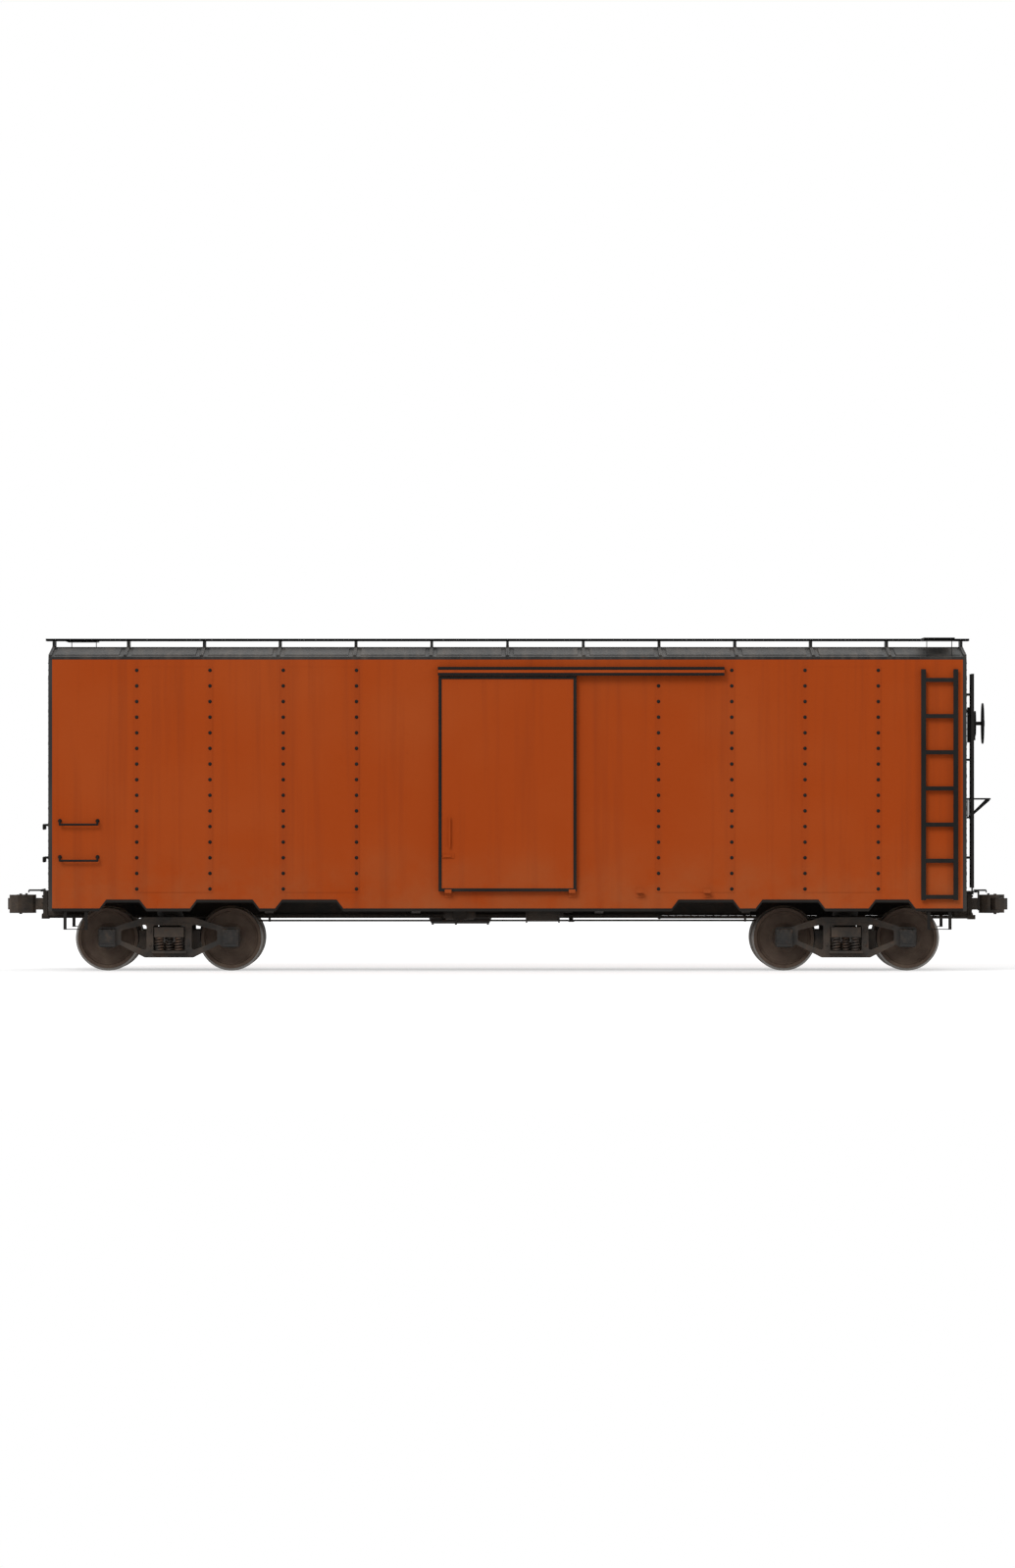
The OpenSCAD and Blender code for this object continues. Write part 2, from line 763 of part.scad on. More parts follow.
module handholds() {
    grab_w = 510;
    zs = [rung_bottom + rung_pitch, rung_bottom + 2 * rung_pitch];
    end_zs = [for (i = [0, 1]) rib_first + (i + 0.5) * rib_pitch - 50];
    color(black) both_ways() {
        for (z = zs) translate([-half_len + 412, -half_w, z]) drop_grab(grab_w);
        for (z = end_zs) translate([half_len, end_ladder_y, z]) rotate([0, 0, 90]) drop_grab(grab_w);
    }
}

// Stirrup step under each corner, bent from strap and fixed behind the side sill
module sill_steps() {
    step_w = 330;
    drop = 250;
    bar = 45;
    t = 12;
    tread = 55;
    color(black) both_y() both_x() translate([ladder_x, -sill_web_y, 0]) union() {
        for (s = [-1, 1])
            block([s * step_w / 2 - (s > 0 ? bar : 0), s * step_w / 2 + (s > 0 ? 0 : bar)], [0, t],
                  [sill_bottom - drop, sill_bottom + 90]);
        block([-step_w / 2, step_w / 2], [0, tread], [sill_bottom - drop, sill_bottom - drop + t]);
    }
}

// ---------- Couplers ----------

module coupler() {
    z = [coupler_h - head_h / 2, coupler_h + head_h / 2];
    head = [
        [-300, -65], [-262, -120], [-190, -168], [-90, -190], [-30, -172], [-30, -66], [-118, -40],
        [-136, 20], [-100, 78], [-18, 118], [36, 140], [58, 168], [36, 190], [-60, 188], [-170, 150],
        [-262, 110], [-300, 65]
    ];
    color(cast) translate([pull_x, 0, 0]) difference() {
        union() {
            translate([0, 0, z[0]]) linear_extrude(head_h) polygon(rounded(head, 8));
            block([-shank_len, -290], [-shank_w / 2, shank_w / 2],
                  [coupler_h - shank_h / 2 + seat_gap, coupler_h + shank_h / 2 - seat_gap]);
            rod_z(butt_r, -shank_len, 0, [coupler_h - shank_h / 2 + seat_gap, coupler_h + shank_h / 2 - seat_gap]);
            rod_z(butt_pin_r, -shank_len, 0,
                  [coupler_h - shank_h / 2 - pocket_t - 8, coupler_h + shank_h / 2 + pocket_t + 8]);
            // lifting eye of the lock
            rod_z(16, -170, 20, [z[1] - eps, z[1] + 20]);
        }
        // mouth between the two lugs, where the knuckle turns
        block([-150, 60], [-200, -30], [z[0] + lug_h, z[1] - lug_h]);
        rod_z(knuckle_pin_r + run_gap, knuckle_x - pull_x, -knuckle_y, [z[0] - eps, z[1] + eps]);
    }
}

// Knuckle closed against the throat, on its pin
module knuckle() {
    gap = 5;
    z = [coupler_h - head_h / 2 + lug_h + gap, coupler_h + head_h / 2 - lug_h - gap];
    nose = [
        [-85 - 48, -118], [-85, -118 - 52], [-30, -168], [40, -150], [84, -104], [88, -50], [66, -4], [30, 22],
        [2, 14], [6, -24], [-10, -58], [-46, -78], [-120, -76]
    ];
    color(cast) translate([pull_x, 0, 0]) {
        translate([0, 0, z[0]]) linear_extrude(z[1] - z[0]) polygon(rounded(nose, 7));
        rod_z(knuckle_pin_r, knuckle_x - pull_x, -knuckle_y,
              [coupler_h - head_h / 2 - 18, coupler_h + head_h / 2 + 14]);
    }
}

// Rod from the corner of the car to the coupler's lock lifter
module uncoupling_levers() {
    r = 12;
    z = coupler_h + head_h / 2 + 60;
    x = striker_x + 40;
    out_y = half_w - 190;
    color(black) both_ways() {
        rod_y(r, x, [-out_y, -10], z);
        translate([x, -out_y, z]) sphere(r = r);
        rod_z(r, x, -out_y, [z - 260, z]);
        translate([x, -10, z]) sphere(r = r);
        rod_x(r, [x, pull_x - 200], -10, z);
        rod_z(8, pull_x - 200, -10, [coupler_h + head_h / 2 + 28, z]);
        for (y = [-out_y + 120, -340])
            block([half_len, x + 20], [y - 8, y + 8], [z - 22, z - r + 1]);
    }
}

// ---------- Brake gear ----------

hanger_z = cross_top;
gear_x = 150;

module brake_cylinder() {
    r = 140;
    len = 420;
    y = -stringer_ys[0] - 205;
    z = cross_top - 190;
    x = gear_x + 120;
    color(cast) {
        union() {
            rod_x(r, [x, x + len], y, z);
            rod_x(r + 18, [x - 22, x], y, z);
            rod_x(r + 18, [x + len, x + len + 22], y, z);
            rod_x(r * 0.55, [x + len + 22, x + len + 70], y, z);
            rod_x(18, [x + len + 70, x + len + 190], y, z);
            for (bx = [x + 70, x + len - 70])
                block([bx - 20, bx + 20], [y - 200, y + 200], [hanger_z - 14, hanger_z]);
            for (bx = [x + 70, x + len - 70])
                block([bx - 20, bx + 20], [y - 60, y + 60], [z + r * 0.7, hanger_z - 14 + eps]);
        }
    }
}

module air_reservoir() {
    r = 165;
    len = 760;
    y = (stringer_ys[0] + stringer_ys[1]) / 2;
    z = cross_top - 215;
    x = -gear_x - len - 120;
    color(cast) union() {
        rod_x(r, [x, x + len], y, z);
        for (bx = [x, x + len * 0.42, x + len])
            rod_x(r + 16, [bx - 14, bx + 14], y, z);
        for (end = [x - 14, x + len + 14]) translate([end, y, z]) rotate([0, 90, 0])
            intersection() {
                translate([0, 0, end < x ? r * 1.6 : -r * 1.6]) sphere(r = r * 1.9);
                cylinder(r = r * 0.98, h = r * 2, center = true);
            }
        for (bx = [x + 130, x + len - 130]) {
            block([bx - 20, bx + 20], [stringer_ys[0] - 20, stringer_ys[1] + 20], [hanger_z - 14, hanger_z]);
            block([bx - 20, bx + 20], [y - 70, y + 70], [z + r * 0.7, hanger_z - 14 + eps]);
        }
    }
}

module control_valve() {
    y = -(stringer_ys[0] + stringer_ys[1]) / 2;
    x = -gear_x - 500;
    z = cross_top - 150;
    color(cast) union() {
        block([x - 85, x + 85], [y - 110, y + 110], [z - 150, z + 80]);
        rod_x(85, [x - 190, x + 190], y, z - 70);
        rod_x(60, [x - 215, x + 215], y, z - 70);
        rod_z(50, x, y, [z - 190, z - 149]);
        block([x - 60, x + 60], [-stringer_ys[1] - 20, -stringer_ys[0] + 20], [hanger_z - 14, hanger_z]);
        block([x - 50, x + 50], [y - 60, y + 60], [z + 79, hanger_z - 13]);
    }
}

// Rods under the centre sill from the cylinder's lever to each truck, in lengths between levers and guides
module brake_rods() {
    r = 13;
    z = frame_bottom - 72;
    off = 90;
    lever_x = gear_x + 720;
    lever_half = 40;
    lever_t = 20;
    guide_x = small_tab_x;
    guide_half = 15;
    hanger_half = 30;
    end_x = truck_x - half_base - 160;
    beside_lever = lever_half + seat_gap;
    beside_guide = guide_half + seat_gap;
    lengths = [[lever_x + beside_lever, guide_x - beside_guide], [guide_x + beside_guide, end_x]];
    lever_z = [z - lever_t / 2, z + lever_t / 2];
    color(black) {
        rod_x(r, [-lever_x + beside_lever, lever_x - beside_lever], 0, z);
        block([lever_x - lever_half, lever_x + lever_half], [-stringer_ys[0] - 230, off + 20], lever_z);
        block([-lever_x - lever_half, -lever_x + lever_half], [-off - 20, 420], lever_z);
        for (s = [-1, 1]) {
            for (l = lengths) rod_x(r, s > 0 ? l : [-l[1], -l[0]], s * off, z);
            block([s * lever_x - hanger_half, s * lever_x + hanger_half], [-20, 20],
                  [lever_z[1] + seat_gap, frame_bottom - seat_gap]);
            // guide block that holds two lengths of rod end to end
            block([s * guide_x - guide_half, s * guide_x + guide_half], [s * off - 15, s * off + 15],
                  [z - r - 4, frame_bottom - seat_gap]);
            // straps across the centre sill that carry the hanger and the guide
            for (strap = [[s * lever_x, hanger_half], [s * guide_x, guide_half]])
                block([strap[0] - strap[1], strap[0] + strap[1]], [-half_sill + web_t, half_sill - web_t],
                      [frame_bottom, frame_bottom + web_t]);
        }
    }
}

pipe_r = 21;
pipe_z = frame_bottom - pipe_r - 1;
pipe_y = 310;
pipe_end = half_len + 60;
cock_len = 110;
cock_bore_r = 17;
cock_bore_len = 40;

// Train pipe from a collar near the middle of the car to one end, and the clamp on the end sill over it
module pipe_run(start, collar) {
    clamp_x = inner_x - 60;
    clamp_w = 40;
    union() {
        rod_x(pipe_r, [start, pipe_end], -pipe_y, pipe_z);
        rod_y(collar, start, [-pipe_y - collar, -pipe_y + collar], pipe_z);
    }
    block([clamp_x, clamp_x + clamp_w], [-pipe_y - 25, -pipe_y + 25],
          [pipe_z + pipe_r + seat_gap, sill_bottom + tab_depth]);
}

// The two runs and the pipe that joins their collars under the centre sill
module brake_pipe() {
    cross_x = centre_tab_x - 150;
    collar = pipe_r * 1.35;
    reach = pipe_y - collar - seat_gap;
    color(black) {
        pipe_run(cross_x, collar);
        turned() pipe_run(-cross_x, collar);
        rod_y(pipe_r, cross_x, [-reach, reach], pipe_z);
    }
}

// Valve on each end of the train pipe, with its handle and the outlet for a hose
module angle_cocks() {
    cock_end = pipe_end + cock_len;
    handle_h = 62;
    handle_t = 12;
    color(black) both_ways() difference() {
        union() {
            rod_x(pipe_r * 1.5, [pipe_end, cock_end], -pipe_y, pipe_z);
            rod_z(pipe_r * 1.1, pipe_end + 50, -pipe_y, [pipe_z, pipe_z + handle_h]);
            block([pipe_end + 40, pipe_end + 60], [-pipe_y - 15, -pipe_y + 95],
                  [pipe_z + handle_h - handle_t, pipe_z + handle_h]);
        }
        rod_x(cock_bore_r, [cock_end - cock_bore_len, cock_end + eps], -pipe_y, pipe_z);
    }
}

// Geared brake on the B end, its chain rod and the brakeman's step
module hand_brake_gear() {
    face = half_len + rib_out;
    step_y = [-brake_y - 300, -brake_y + 300];
    color(black) union() {
        block([face, face + 20], [-brake_y - 190, -brake_y + 190],
              [brake_wheel_z - 260, brake_wheel_z + 220]);
        rod_x(170, [face + 19, face + 110], -brake_y, brake_wheel_z);
        block([face + 19, face + 100], [-brake_y - 120, -brake_y + 120], [brake_wheel_z - 230, brake_wheel_z]);
        rod_x(26, [face + 109, face + 190], -brake_y, brake_wheel_z);
    }
    color(black) union() {
        block([face, face + 300], step_y, [brake_step_z, brake_step_z + 22]);
        for (y = [step_y[0] + 60, step_y[1] - 60]) {
            bar_x = [face, face + 12];
            block(bar_x, [y - 20, y + 20], [brake_step_z - 260, brake_step_z + eps]);
            translate([0, y + 6, 0]) rotate([90, 0, 0]) linear_extrude(12)
                polygon([[face, brake_step_z - 250], [face + 12, brake_step_z - 255],
                         [face + 290, brake_step_z - 12], [face + 290, brake_step_z + eps],
                         [face + 250, brake_step_z + eps]]);
        }
    }
    color(black) rod_z(11, face + 60, -brake_y, [frame_top + 10, brake_wheel_z - 229.7]);
    color(black) block([half_len, face + 80], [-brake_y - 25, -brake_y + 25], [frame_top - 40, frame_top + 10]);
}

module hand_brake_wheel() {
    x = half_len + rib_out + 190 + seat_gap;
    grip = 13;
    spokes = 5;
    color(black) translate([x, -brake_y, brake_wheel_z]) rotate([0, 90, 0]) union() {
        rotate_extrude($fn = 64) translate([brake_wheel_r - grip, grip]) circle(r = grip, $fn = 24);
        cylinder(r = 42, h = 40);
        for (i = [0:spokes - 1]) rotate([0, 0, 18 + i * 360 / spokes])
            translate([34, -10, 8]) cube([brake_wheel_r - 1.4 * grip - 34, 20, 11]);
    }
}

// ---------- Trucks ----------

module side_frame() {
    top = 285;
    box_in = half_base - 118;
    box_out = half_base + 122;
    outline = mirrored([
        [330, top], [half_base - 170, 178], [box_in + 30, 150], [box_out - 20, 150], [box_out, 120],
        [box_out, -90], [box_out - 25, -122], [box_in + 15, -122], [box_in - 40, -84], [330, -262]
    ]);
    centre = mirrored([[window_half, 175], [window_half, seat_z]]);
    side = [[window_half + 92, 190], [half_base - 185, 108], [half_base - 185, -32], [window_half + 92, -172]];
    rib = 22;
    difference() {
        union() {
            plate_xz(rounded(outline, 18), [frame_y - side_frame_t / 2, frame_y + side_frame_t / 2]);
            // shelf that the springs stand on
            block([-window_half - 20, window_half + 20], [frame_y - 130, frame_y + 130], [seat_z - 34, seat_z]);
            // journal boxes and their lids
            for (s = [-1, 1]) {
                bar_yz([
                    [frame_y - 112, -112], [frame_y + 118, -112], [frame_y + 150, -84], [frame_y + 150, 112],
                    [frame_y + 120, 132], [frame_y - 112, 132]
                ], [s * half_base - 105, s * half_base + 105]);
                plate_xz(rounded([for (p = [[-84, -72], [84, -72], [90, 40], [62, 104], [-62, 104], [-90, 40]])
                                  p + [s * half_base, 0]], 18), [frame_y + 149, frame_y + 162]);
                plate_xz(rounded([for (p = [[-52, -48], [52, -48], [56, 30], [36, 66], [-36, 66], [-56, 30]])
                                  p + [s * half_base, 0]], 14), [frame_y + 161, frame_y + 170]);
                rod_x(14, [s * half_base - 56, s * half_base + 56], frame_y + 152, 112);
            }
        }
        plate_xz(rounded(centre, 24), [frame_y - 200, frame_y + 200]);
        for (s = [0, 1]) mirror([s, 0, 0]) {
            plate_xz(rounded(side, 30), [frame_y - 200, frame_y + 200]);
            // the channel section shows as a sunk panel on both faces
            for (y = [frame_y - side_frame_t / 2, frame_y + side_frame_t / 2])
                plate_xz(rounded([[70, top - rib], [322, top - rib], [half_base - 182, 160], [half_base - 205, 132],
                                  [window_half + 80, 205], [70, 205]], 8), [y - 12, y + 12]);
        }
        for (s = [-1, 1]) {
            rod_y(journal_r + run_gap, s * half_base, [frame_y - 120, frame_y + 130], 0);
            rod_y(journal_r + 14, s * half_base, [frame_y + 114, frame_y + 144], 0);
        }
    }
}

module truck_side_frames() {
    color(cast) translate([0, 0, axle_h]) both_y() side_frame();
}

module truck_bolster() {
    end_y = frame_y + 127;
    outline = mirrored([
        [0, 200], [380, 200], [720, 158], [end_y, 150], [end_y, seat_z + 185], [790, seat_z + 185],
        [480, -62], [0, -62]
    ]);
    pad_y = 635;
    color(cast) translate([0, 0, axle_h]) union() {
        intersection() {
            bar_yz(outline, [-bolster_half, bolster_half]);
            // narrower between the side frames than in their windows
            linear_extrude(700, center = true) polygon(mirrored([
                [150, -end_y - eps], [bolster_half, -end_y - eps], [bolster_half, -frame_y + 100],
                [150, -frame_y + 190], [150, frame_y - 190], [bolster_half, frame_y - 100],
                [bolster_half, end_y + eps], [150, end_y + eps]
            ]));
        }
        difference() {
            rod_z(bowl_r, 0, 0, [199, 235 + bowl_depth]);
            rod_z(centre_plate_r + 5, 0, 0, [235, 235 + bowl_depth + eps]);
        }
        both_y() block([-95, 95], [pad_y - 60, pad_y + 60], [150, 270]);
    }
}

module truck_springs() {
    color(steel) translate([0, 0, axle_h])
    both_y() for (p = [[-130, -65], [130, -65], [-130, 65], [130, 65], [0, 0]])
        rod_z(spring_r, p.x, frame_y + p.y, [seat_z, seat_z + 185]);
}

// A beam across the truck with a shoe head for each wheel
module brake_beam() {
    tread_y = back_to_back / 2 + 90;
    shoe_w = 78;
    z = -45;
    end_y = frame_y - side_frame_t / 2;
    difference() {
        union() {
            block([beam_x, beam_x + beam_t], [-end_y, end_y], [z - 28, z + 28]);
            both_y() block([beam_x + beam_t - eps, half_base - wheel_d / 2 + 60],
                           [tread_y - shoe_w / 2, tread_y + shoe_w / 2], [z - 150, z + 150]);
            both_y() block([beam_x - 10, beam_x + beam_t + 20],
                           [tread_y - shoe_w / 2 - 14, tread_y + shoe_w / 2 + 14], [z - 60, z + 60]);
            // strut that carries the lever
            block([beam_x - 30, beam_x + beam_t], [-30, 30], [z - 60, z + 40]);
        }
        rod_y(wheel_d / 2 + shoe_gap, half_base, [-frame_y, frame_y], 0);
    }
}

module truck_brake_beams() {
    color(cast) translate([0, 0, axle_h]) {
        brake_beam();
        mirror([1, 0, 0]) brake_beam();
        block([-beam_x + 30, beam_x - 30], [-14, 14], [-102, -78]);
        both_x() block([beam_x - 31, beam_x - 10], [-22, 22], [-110, -60]);
    }
}

// Wheels and axle turn about Y
module wheel_pair() {
    r = wheel_d / 2;
    profile = [
        [wheel_seat_r, -12], [142, -12], [150, 24], [205, 56], [r - 95, 66], [r - 62, 44], [r - 52, 2],
        [r + 14, 0], [r + flange_h - 3, 5], [r + flange_h, 14], [r + flange_h - 3, 23], [r + 12, 31],
        [r + 3, 37], [r + 1, 46], [r - 5, rim_w - 7], [r - 12, rim_w], [r - 50, rim_w], [r - 60, 118],
        [r - 95, 100], [205, 92], [156, 118], [144, 158], [wheel_seat_r, 158]
    ];
    color(steel) both_y() translate([0, back_to_back / 2, 0]) rotate([-90, 0, 0])
        rotate_extrude($fn = 96) polygon(profile);
}

module axle() {
    hub_in = back_to_back / 2 - 14;
    hub_out = back_to_back / 2 + 160;
    half = [
        [0, -axle_end], [journal_r + 8, -axle_end], [journal_r + 8, -axle_end + 14], [journal_r, -axle_end + 22],
        [journal_r, -frame_y + 116], [journal_r + 9, -frame_y + 122], [journal_r + 9, -hub_out],
        [wheel_seat_r, -hub_out], [wheel_seat_r, -hub_in], [83, -hub_in + 20], [74, 0]
    ];
    whole = concat(half, [for (i = [len(half) - 2:-1:0]) [half[i].x, -half[i].y]]);
    color(steel) rotate([-90, 0, 0]) rotate_extrude($fn = 64) polygon(whole);
}

module in_truck(end) {
    translate([end * truck_x, 0, 0]) rotate([0, 0, end > 0 ? 0 : 180]) children();
}

module in_axle(end, place) {
    translate([end * truck_x + place * half_base, 0, axle_h]) children();
}

on_rail() centre_sill();
on_rail() centre_sill_cover();
on_rail() body_bolsters();
on_rail() crossbearers();
on_rail() floor_stringers();
on_rail() end_sills();
on_rail() side_sill();  // left_side_sill
on_rail() turned() side_sill();  // right_side_sill
on_rail() sill_edge_bars();
on_rail() floor_boards();  // floor
on_rail() side_wall(-1);  // left_wall_a
on_rail() side_wall(1);  // left_wall_b
on_rail() turned() side_wall(1);  // right_wall_a
on_rail() turned() side_wall(-1);  // right_wall_b
on_rail() side_plate();  // left_side_plate
on_rail() turned() side_plate();  // right_side_plate
on_rail() turned() end_wall();  // a_end_wall
on_rail() end_wall();  // b_end_wall
on_rail() roof();
on_rail() running_board();
on_rail() door_track();  // left_door_track
on_rail() turned() door_track();  // right_door_track
on_rail() door_guides();
on_rail() ladder_stiles();
on_rail() ladder_rungs();
on_rail() handholds();
on_rail() sill_steps();
on_rail() turned() coupler();  // a_coupler
on_rail() coupler();  // b_coupler
on_rail() turned() knuckle();  // a_knuckle
on_rail() knuckle();  // b_knuckle
on_rail() uncoupling_levers();
on_rail() brake_cylinder();
on_rail() air_reservoir();
on_rail() control_valve();
on_rail() brake_rods();
on_rail() brake_pipe();
on_rail() angle_cocks();
on_rail() hand_brake_gear();
on_rail() hand_brake_wheel();
on_rail() door();  // left_door
on_rail() turned() door();  // right_door
on_rail() door_frame();  // left_door_frame
on_rail() turned() door_frame();  // right_door_frame
on_rail() in_truck(-1) truck_side_frames();  // a_truck_side_frames
on_rail() in_truck(-1) truck_bolster();  // a_truck_bolster
on_rail() in_truck(-1) truck_springs();  // a_truck_springs
on_rail() in_truck(-1) truck_brake_beams();  // a_truck_brake_beams
on_rail() in_truck(1) truck_side_frames();  // b_truck_side_frames
on_rail() in_truck(1) truck_bolster();  // b_truck_bolster
on_rail() in_truck(1) truck_springs();  // b_truck_springs
on_rail() in_truck(1) truck_brake_beams();  // b_truck_brake_beams
on_rail() in_axle(-1, -1) wheel_pair();  // a_outer_wheels
on_rail() in_axle(-1, -1) axle();  // a_outer_axle
on_rail() in_axle(-1, 1) wheel_pair();  // a_inner_wheels
on_rail() in_axle(-1, 1) axle();  // a_inner_axle
on_rail() in_axle(1, -1) wheel_pair();  // b_inner_wheels
on_rail() in_axle(1, -1) axle();  // b_inner_axle
on_rail() in_axle(1, 1) wheel_pair();  // b_outer_wheels
on_rail() in_axle(1, 1) axle();  // b_outer_axle
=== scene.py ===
import json
import math

import bmesh
import bpy
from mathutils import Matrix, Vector


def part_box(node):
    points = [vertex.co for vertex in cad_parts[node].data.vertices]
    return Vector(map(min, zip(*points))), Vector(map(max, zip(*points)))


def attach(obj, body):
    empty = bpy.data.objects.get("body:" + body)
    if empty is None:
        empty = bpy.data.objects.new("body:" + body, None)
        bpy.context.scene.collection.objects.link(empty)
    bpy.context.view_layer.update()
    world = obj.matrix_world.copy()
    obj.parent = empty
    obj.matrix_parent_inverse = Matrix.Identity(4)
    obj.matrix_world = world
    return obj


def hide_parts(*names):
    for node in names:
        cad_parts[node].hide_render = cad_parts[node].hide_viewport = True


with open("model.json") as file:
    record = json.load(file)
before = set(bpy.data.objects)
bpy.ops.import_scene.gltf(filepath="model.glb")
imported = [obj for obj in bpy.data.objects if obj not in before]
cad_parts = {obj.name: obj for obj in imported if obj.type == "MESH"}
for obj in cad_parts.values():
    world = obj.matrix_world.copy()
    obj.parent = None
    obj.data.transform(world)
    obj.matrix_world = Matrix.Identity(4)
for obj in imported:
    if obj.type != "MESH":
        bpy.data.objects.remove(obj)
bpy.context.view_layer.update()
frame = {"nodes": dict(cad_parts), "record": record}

record = frame["record"]
nodes = frame["nodes"]
scene = bpy.context.scene
# how near to a face a mesh corner has to lie to count as on it
near = 0.0005


def corners(*names):
    # the lowest and highest corner of one or more nodes together
    boxes = [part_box(name) for name in names]
    low = Vector([min(b[0][i] for b in boxes) for i in range(3)])
    high = Vector([max(b[1][i] for b in boxes) for i in range(3)])
    return low, high


def jointPlace(name):
    return Vector(next(j["pos_m"] for j in record["behaviour"]["joints"] if j["name"] == name))


def heights(node, axis, keep):
    # the places along one axis where a node's mesh has corners, out of those that keep() picks
    return sorted({round(v.co[axis], 4) for v in nodes[node].data.vertices if keep(v.co)})


# Shader maths and materials

class Value:
    # wraps a socket, so that shader maths reads as a plain expression
    def __init__(self, tree, socket):
        self.tree = tree
        self.socket = socket

    def maths(self, operation, *others, clamp=False):
        node = self.tree.nodes.new("ShaderNodeMath")
        node.operation = operation
        node.use_clamp = clamp
        for place, item in enumerate((self,) + others):
            join(self.tree, node.inputs[place], item)
        return Value(self.tree, node.outputs[0])

    def flipped(self, operation, first):
        node = self.tree.nodes.new("ShaderNodeMath")
        node.operation = operation
        node.inputs[0].default_value = first
        join(self.tree, node.inputs[1], self)
        return Value(self.tree, node.outputs[0])

    def __add__(self, other): return self.maths("ADD", other)
    def __radd__(self, other): return self.maths("ADD", other)
    def __sub__(self, other): return self.maths("SUBTRACT", other)
    def __rsub__(self, other): return self.flipped("SUBTRACT", other)
    def __mul__(self, other): return self.maths("MULTIPLY", other)
    def __rmul__(self, other): return self.maths("MULTIPLY", other)
    def __truediv__(self, other): return self.maths("DIVIDE", other)
    def __rtruediv__(self, other): return self.flipped("DIVIDE", other)
    def __pow__(self, other): return self.maths("POWER", other)
    def __mod__(self, other): return self.maths("FLOORED_MODULO", other)
    def __abs__(self): return self.maths("ABSOLUTE")
    def __lt__(self, other): return self.maths("LESS_THAN", other)
    def __gt__(self, other): return self.maths("GREATER_THAN", other)

    def floor(self): return self.maths("FLOOR")
    def limited(self): return self.maths("ADD", 0.0, clamp=True)

    # 0 at low, 1 at high, even in between
    def between(self, low, high):
        return ((self - low) / (high - low)).limited()

    # 1 inside a band with soft edges
    def band(self, low, high, soft):
        return self.between(low - soft, low) * self.between(high + soft, high)


def join(tree, socket, item):
    if isinstance(item, Value):
        tree.links.new(item.socket, socket)
    elif isinstance(item, bpy.types.NodeSocket):
        tree.links.new(item, socket)
    else:
        socket.default_value = item


def addNode(tree, kind, settings=None, sockets=None):
    # settings are set before sockets, because some of them change which sockets there are
    node = tree.nodes.new(kind)
    for name, value in (settings or {}).items():
        setattr(node, name, value)
    for name, item in (sockets or {}).items():
        join(tree, node.inputs[name], item)
    return node


class Finish:
    # a material under construction, with its pattern space in object coordinates
    def __init__(self, name, metallic=0.0, specular=0.3):
        self.material = bpy.data.materials.new(name)
        self.material.use_nodes = True
        self.tree = self.material.node_tree
        self.tree.nodes.clear()
        self.shader = addNode(self.tree, "ShaderNodeBsdfPrincipled",
                              sockets={"Metallic": metallic, "Specular IOR Level": specular})
        output = addNode(self.tree, "ShaderNodeOutputMaterial")
        self.tree.links.new(self.shader.outputs[0], output.inputs["Surface"])
        self.place = addNode(self.tree, "ShaderNodeTexCoord").outputs["Object"]
        parts = addNode(self.tree, "ShaderNodeSeparateXYZ", sockets={0: self.place})
        self.x, self.y, self.z = (Value(self.tree, s) for s in parts.outputs)
        facing = addNode(self.tree, "ShaderNodeNewGeometry").outputs["Normal"]
        parts = addNode(self.tree, "ShaderNodeSeparateXYZ", sockets={0: facing})
        self.up = Value(self.tree, parts.outputs[2])

    def node(self, kind, settings=None, sockets=None):
        return addNode(self.tree, kind, settings, sockets)

    def stretched(self, x, y, z):
        mapped = self.node("ShaderNodeMapping", sockets={"Vector": self.place, "Scale": (x, y, z)})
        return mapped.outputs[0]

    def noise(self, scale, detail=3.0, roughness=0.5, vector=None, distortion=0.0):
        found = self.node("ShaderNodeTexNoise", sockets={
            "Vector": vector or self.place, "Scale": scale, "Detail": detail,
            "Roughness": roughness, "Distortion": distortion})
        return Value(self.tree, found.outputs[0])

    def attribute(self, name):
        return Value(self.tree, self.node("ShaderNodeAttribute", {"attribute_name": name}).outputs["Fac"])

    def mix(self, factor, first, second):
        mixed = self.node("ShaderNodeMix", {"data_type": "RGBA"})
        join(self.tree, mixed.inputs[0], factor)
        for place, colour in ((6, first), (7, second)):
            join(self.tree, mixed.inputs[place],
                 colour if isinstance(colour, bpy.types.NodeSocket) else (*colour, 1.0))
        return mixed.outputs[2]

    def bump(self, height, strength, distance):
        made = self.node("ShaderNodeBump", sockets={
            "Height": height, "Strength": strength, "Distance": distance})
        join(self.tree, self.shader.inputs["Normal"], made.outputs[0])

    def set(self, **sockets):
        names = {"colour": "Base Color", "roughness": "Roughness", "metallic": "Metallic"}
        for name, item in sockets.items():
            if isinstance(item, tuple):
                item = (*item, 1.0)
            join(self.tree, self.shader.inputs[names[name]], item)


# Finishes

wallLow, wallHigh = corners("left_wall_a", "left_wall_b")
lapEdges = heights("left_wall_b", 0, lambda p: p.y < wallLow.y + near)
# each seam's rivets stand this far in from the edge of the lapping sheet
lapWidth = 0.035
seams = [lapEdges[i] + lapWidth * (1 if i % 2 == 0 else -1) for i in range(4)]
seamPitch = seams[1] - seams[0]

brownSettings = {
    "colour": (0.335, 0.0465, 0.0012),
    "faded": (0.37, 0.072, 0.012),
    "fade": 0.45,
    # the grime colour also serves as painted shade along the side sheets' laps
    "grimeAndShade": (0.20, 0.030, 0.004),
    "streaks": 0.42,
    "lapDirtAndShade": 0.35,
    "dustColour": (0.31, 0.12, 0.045),
    "dust": 0.42,
    "roughness": 0.66,
    "ripple": 0.30,
}


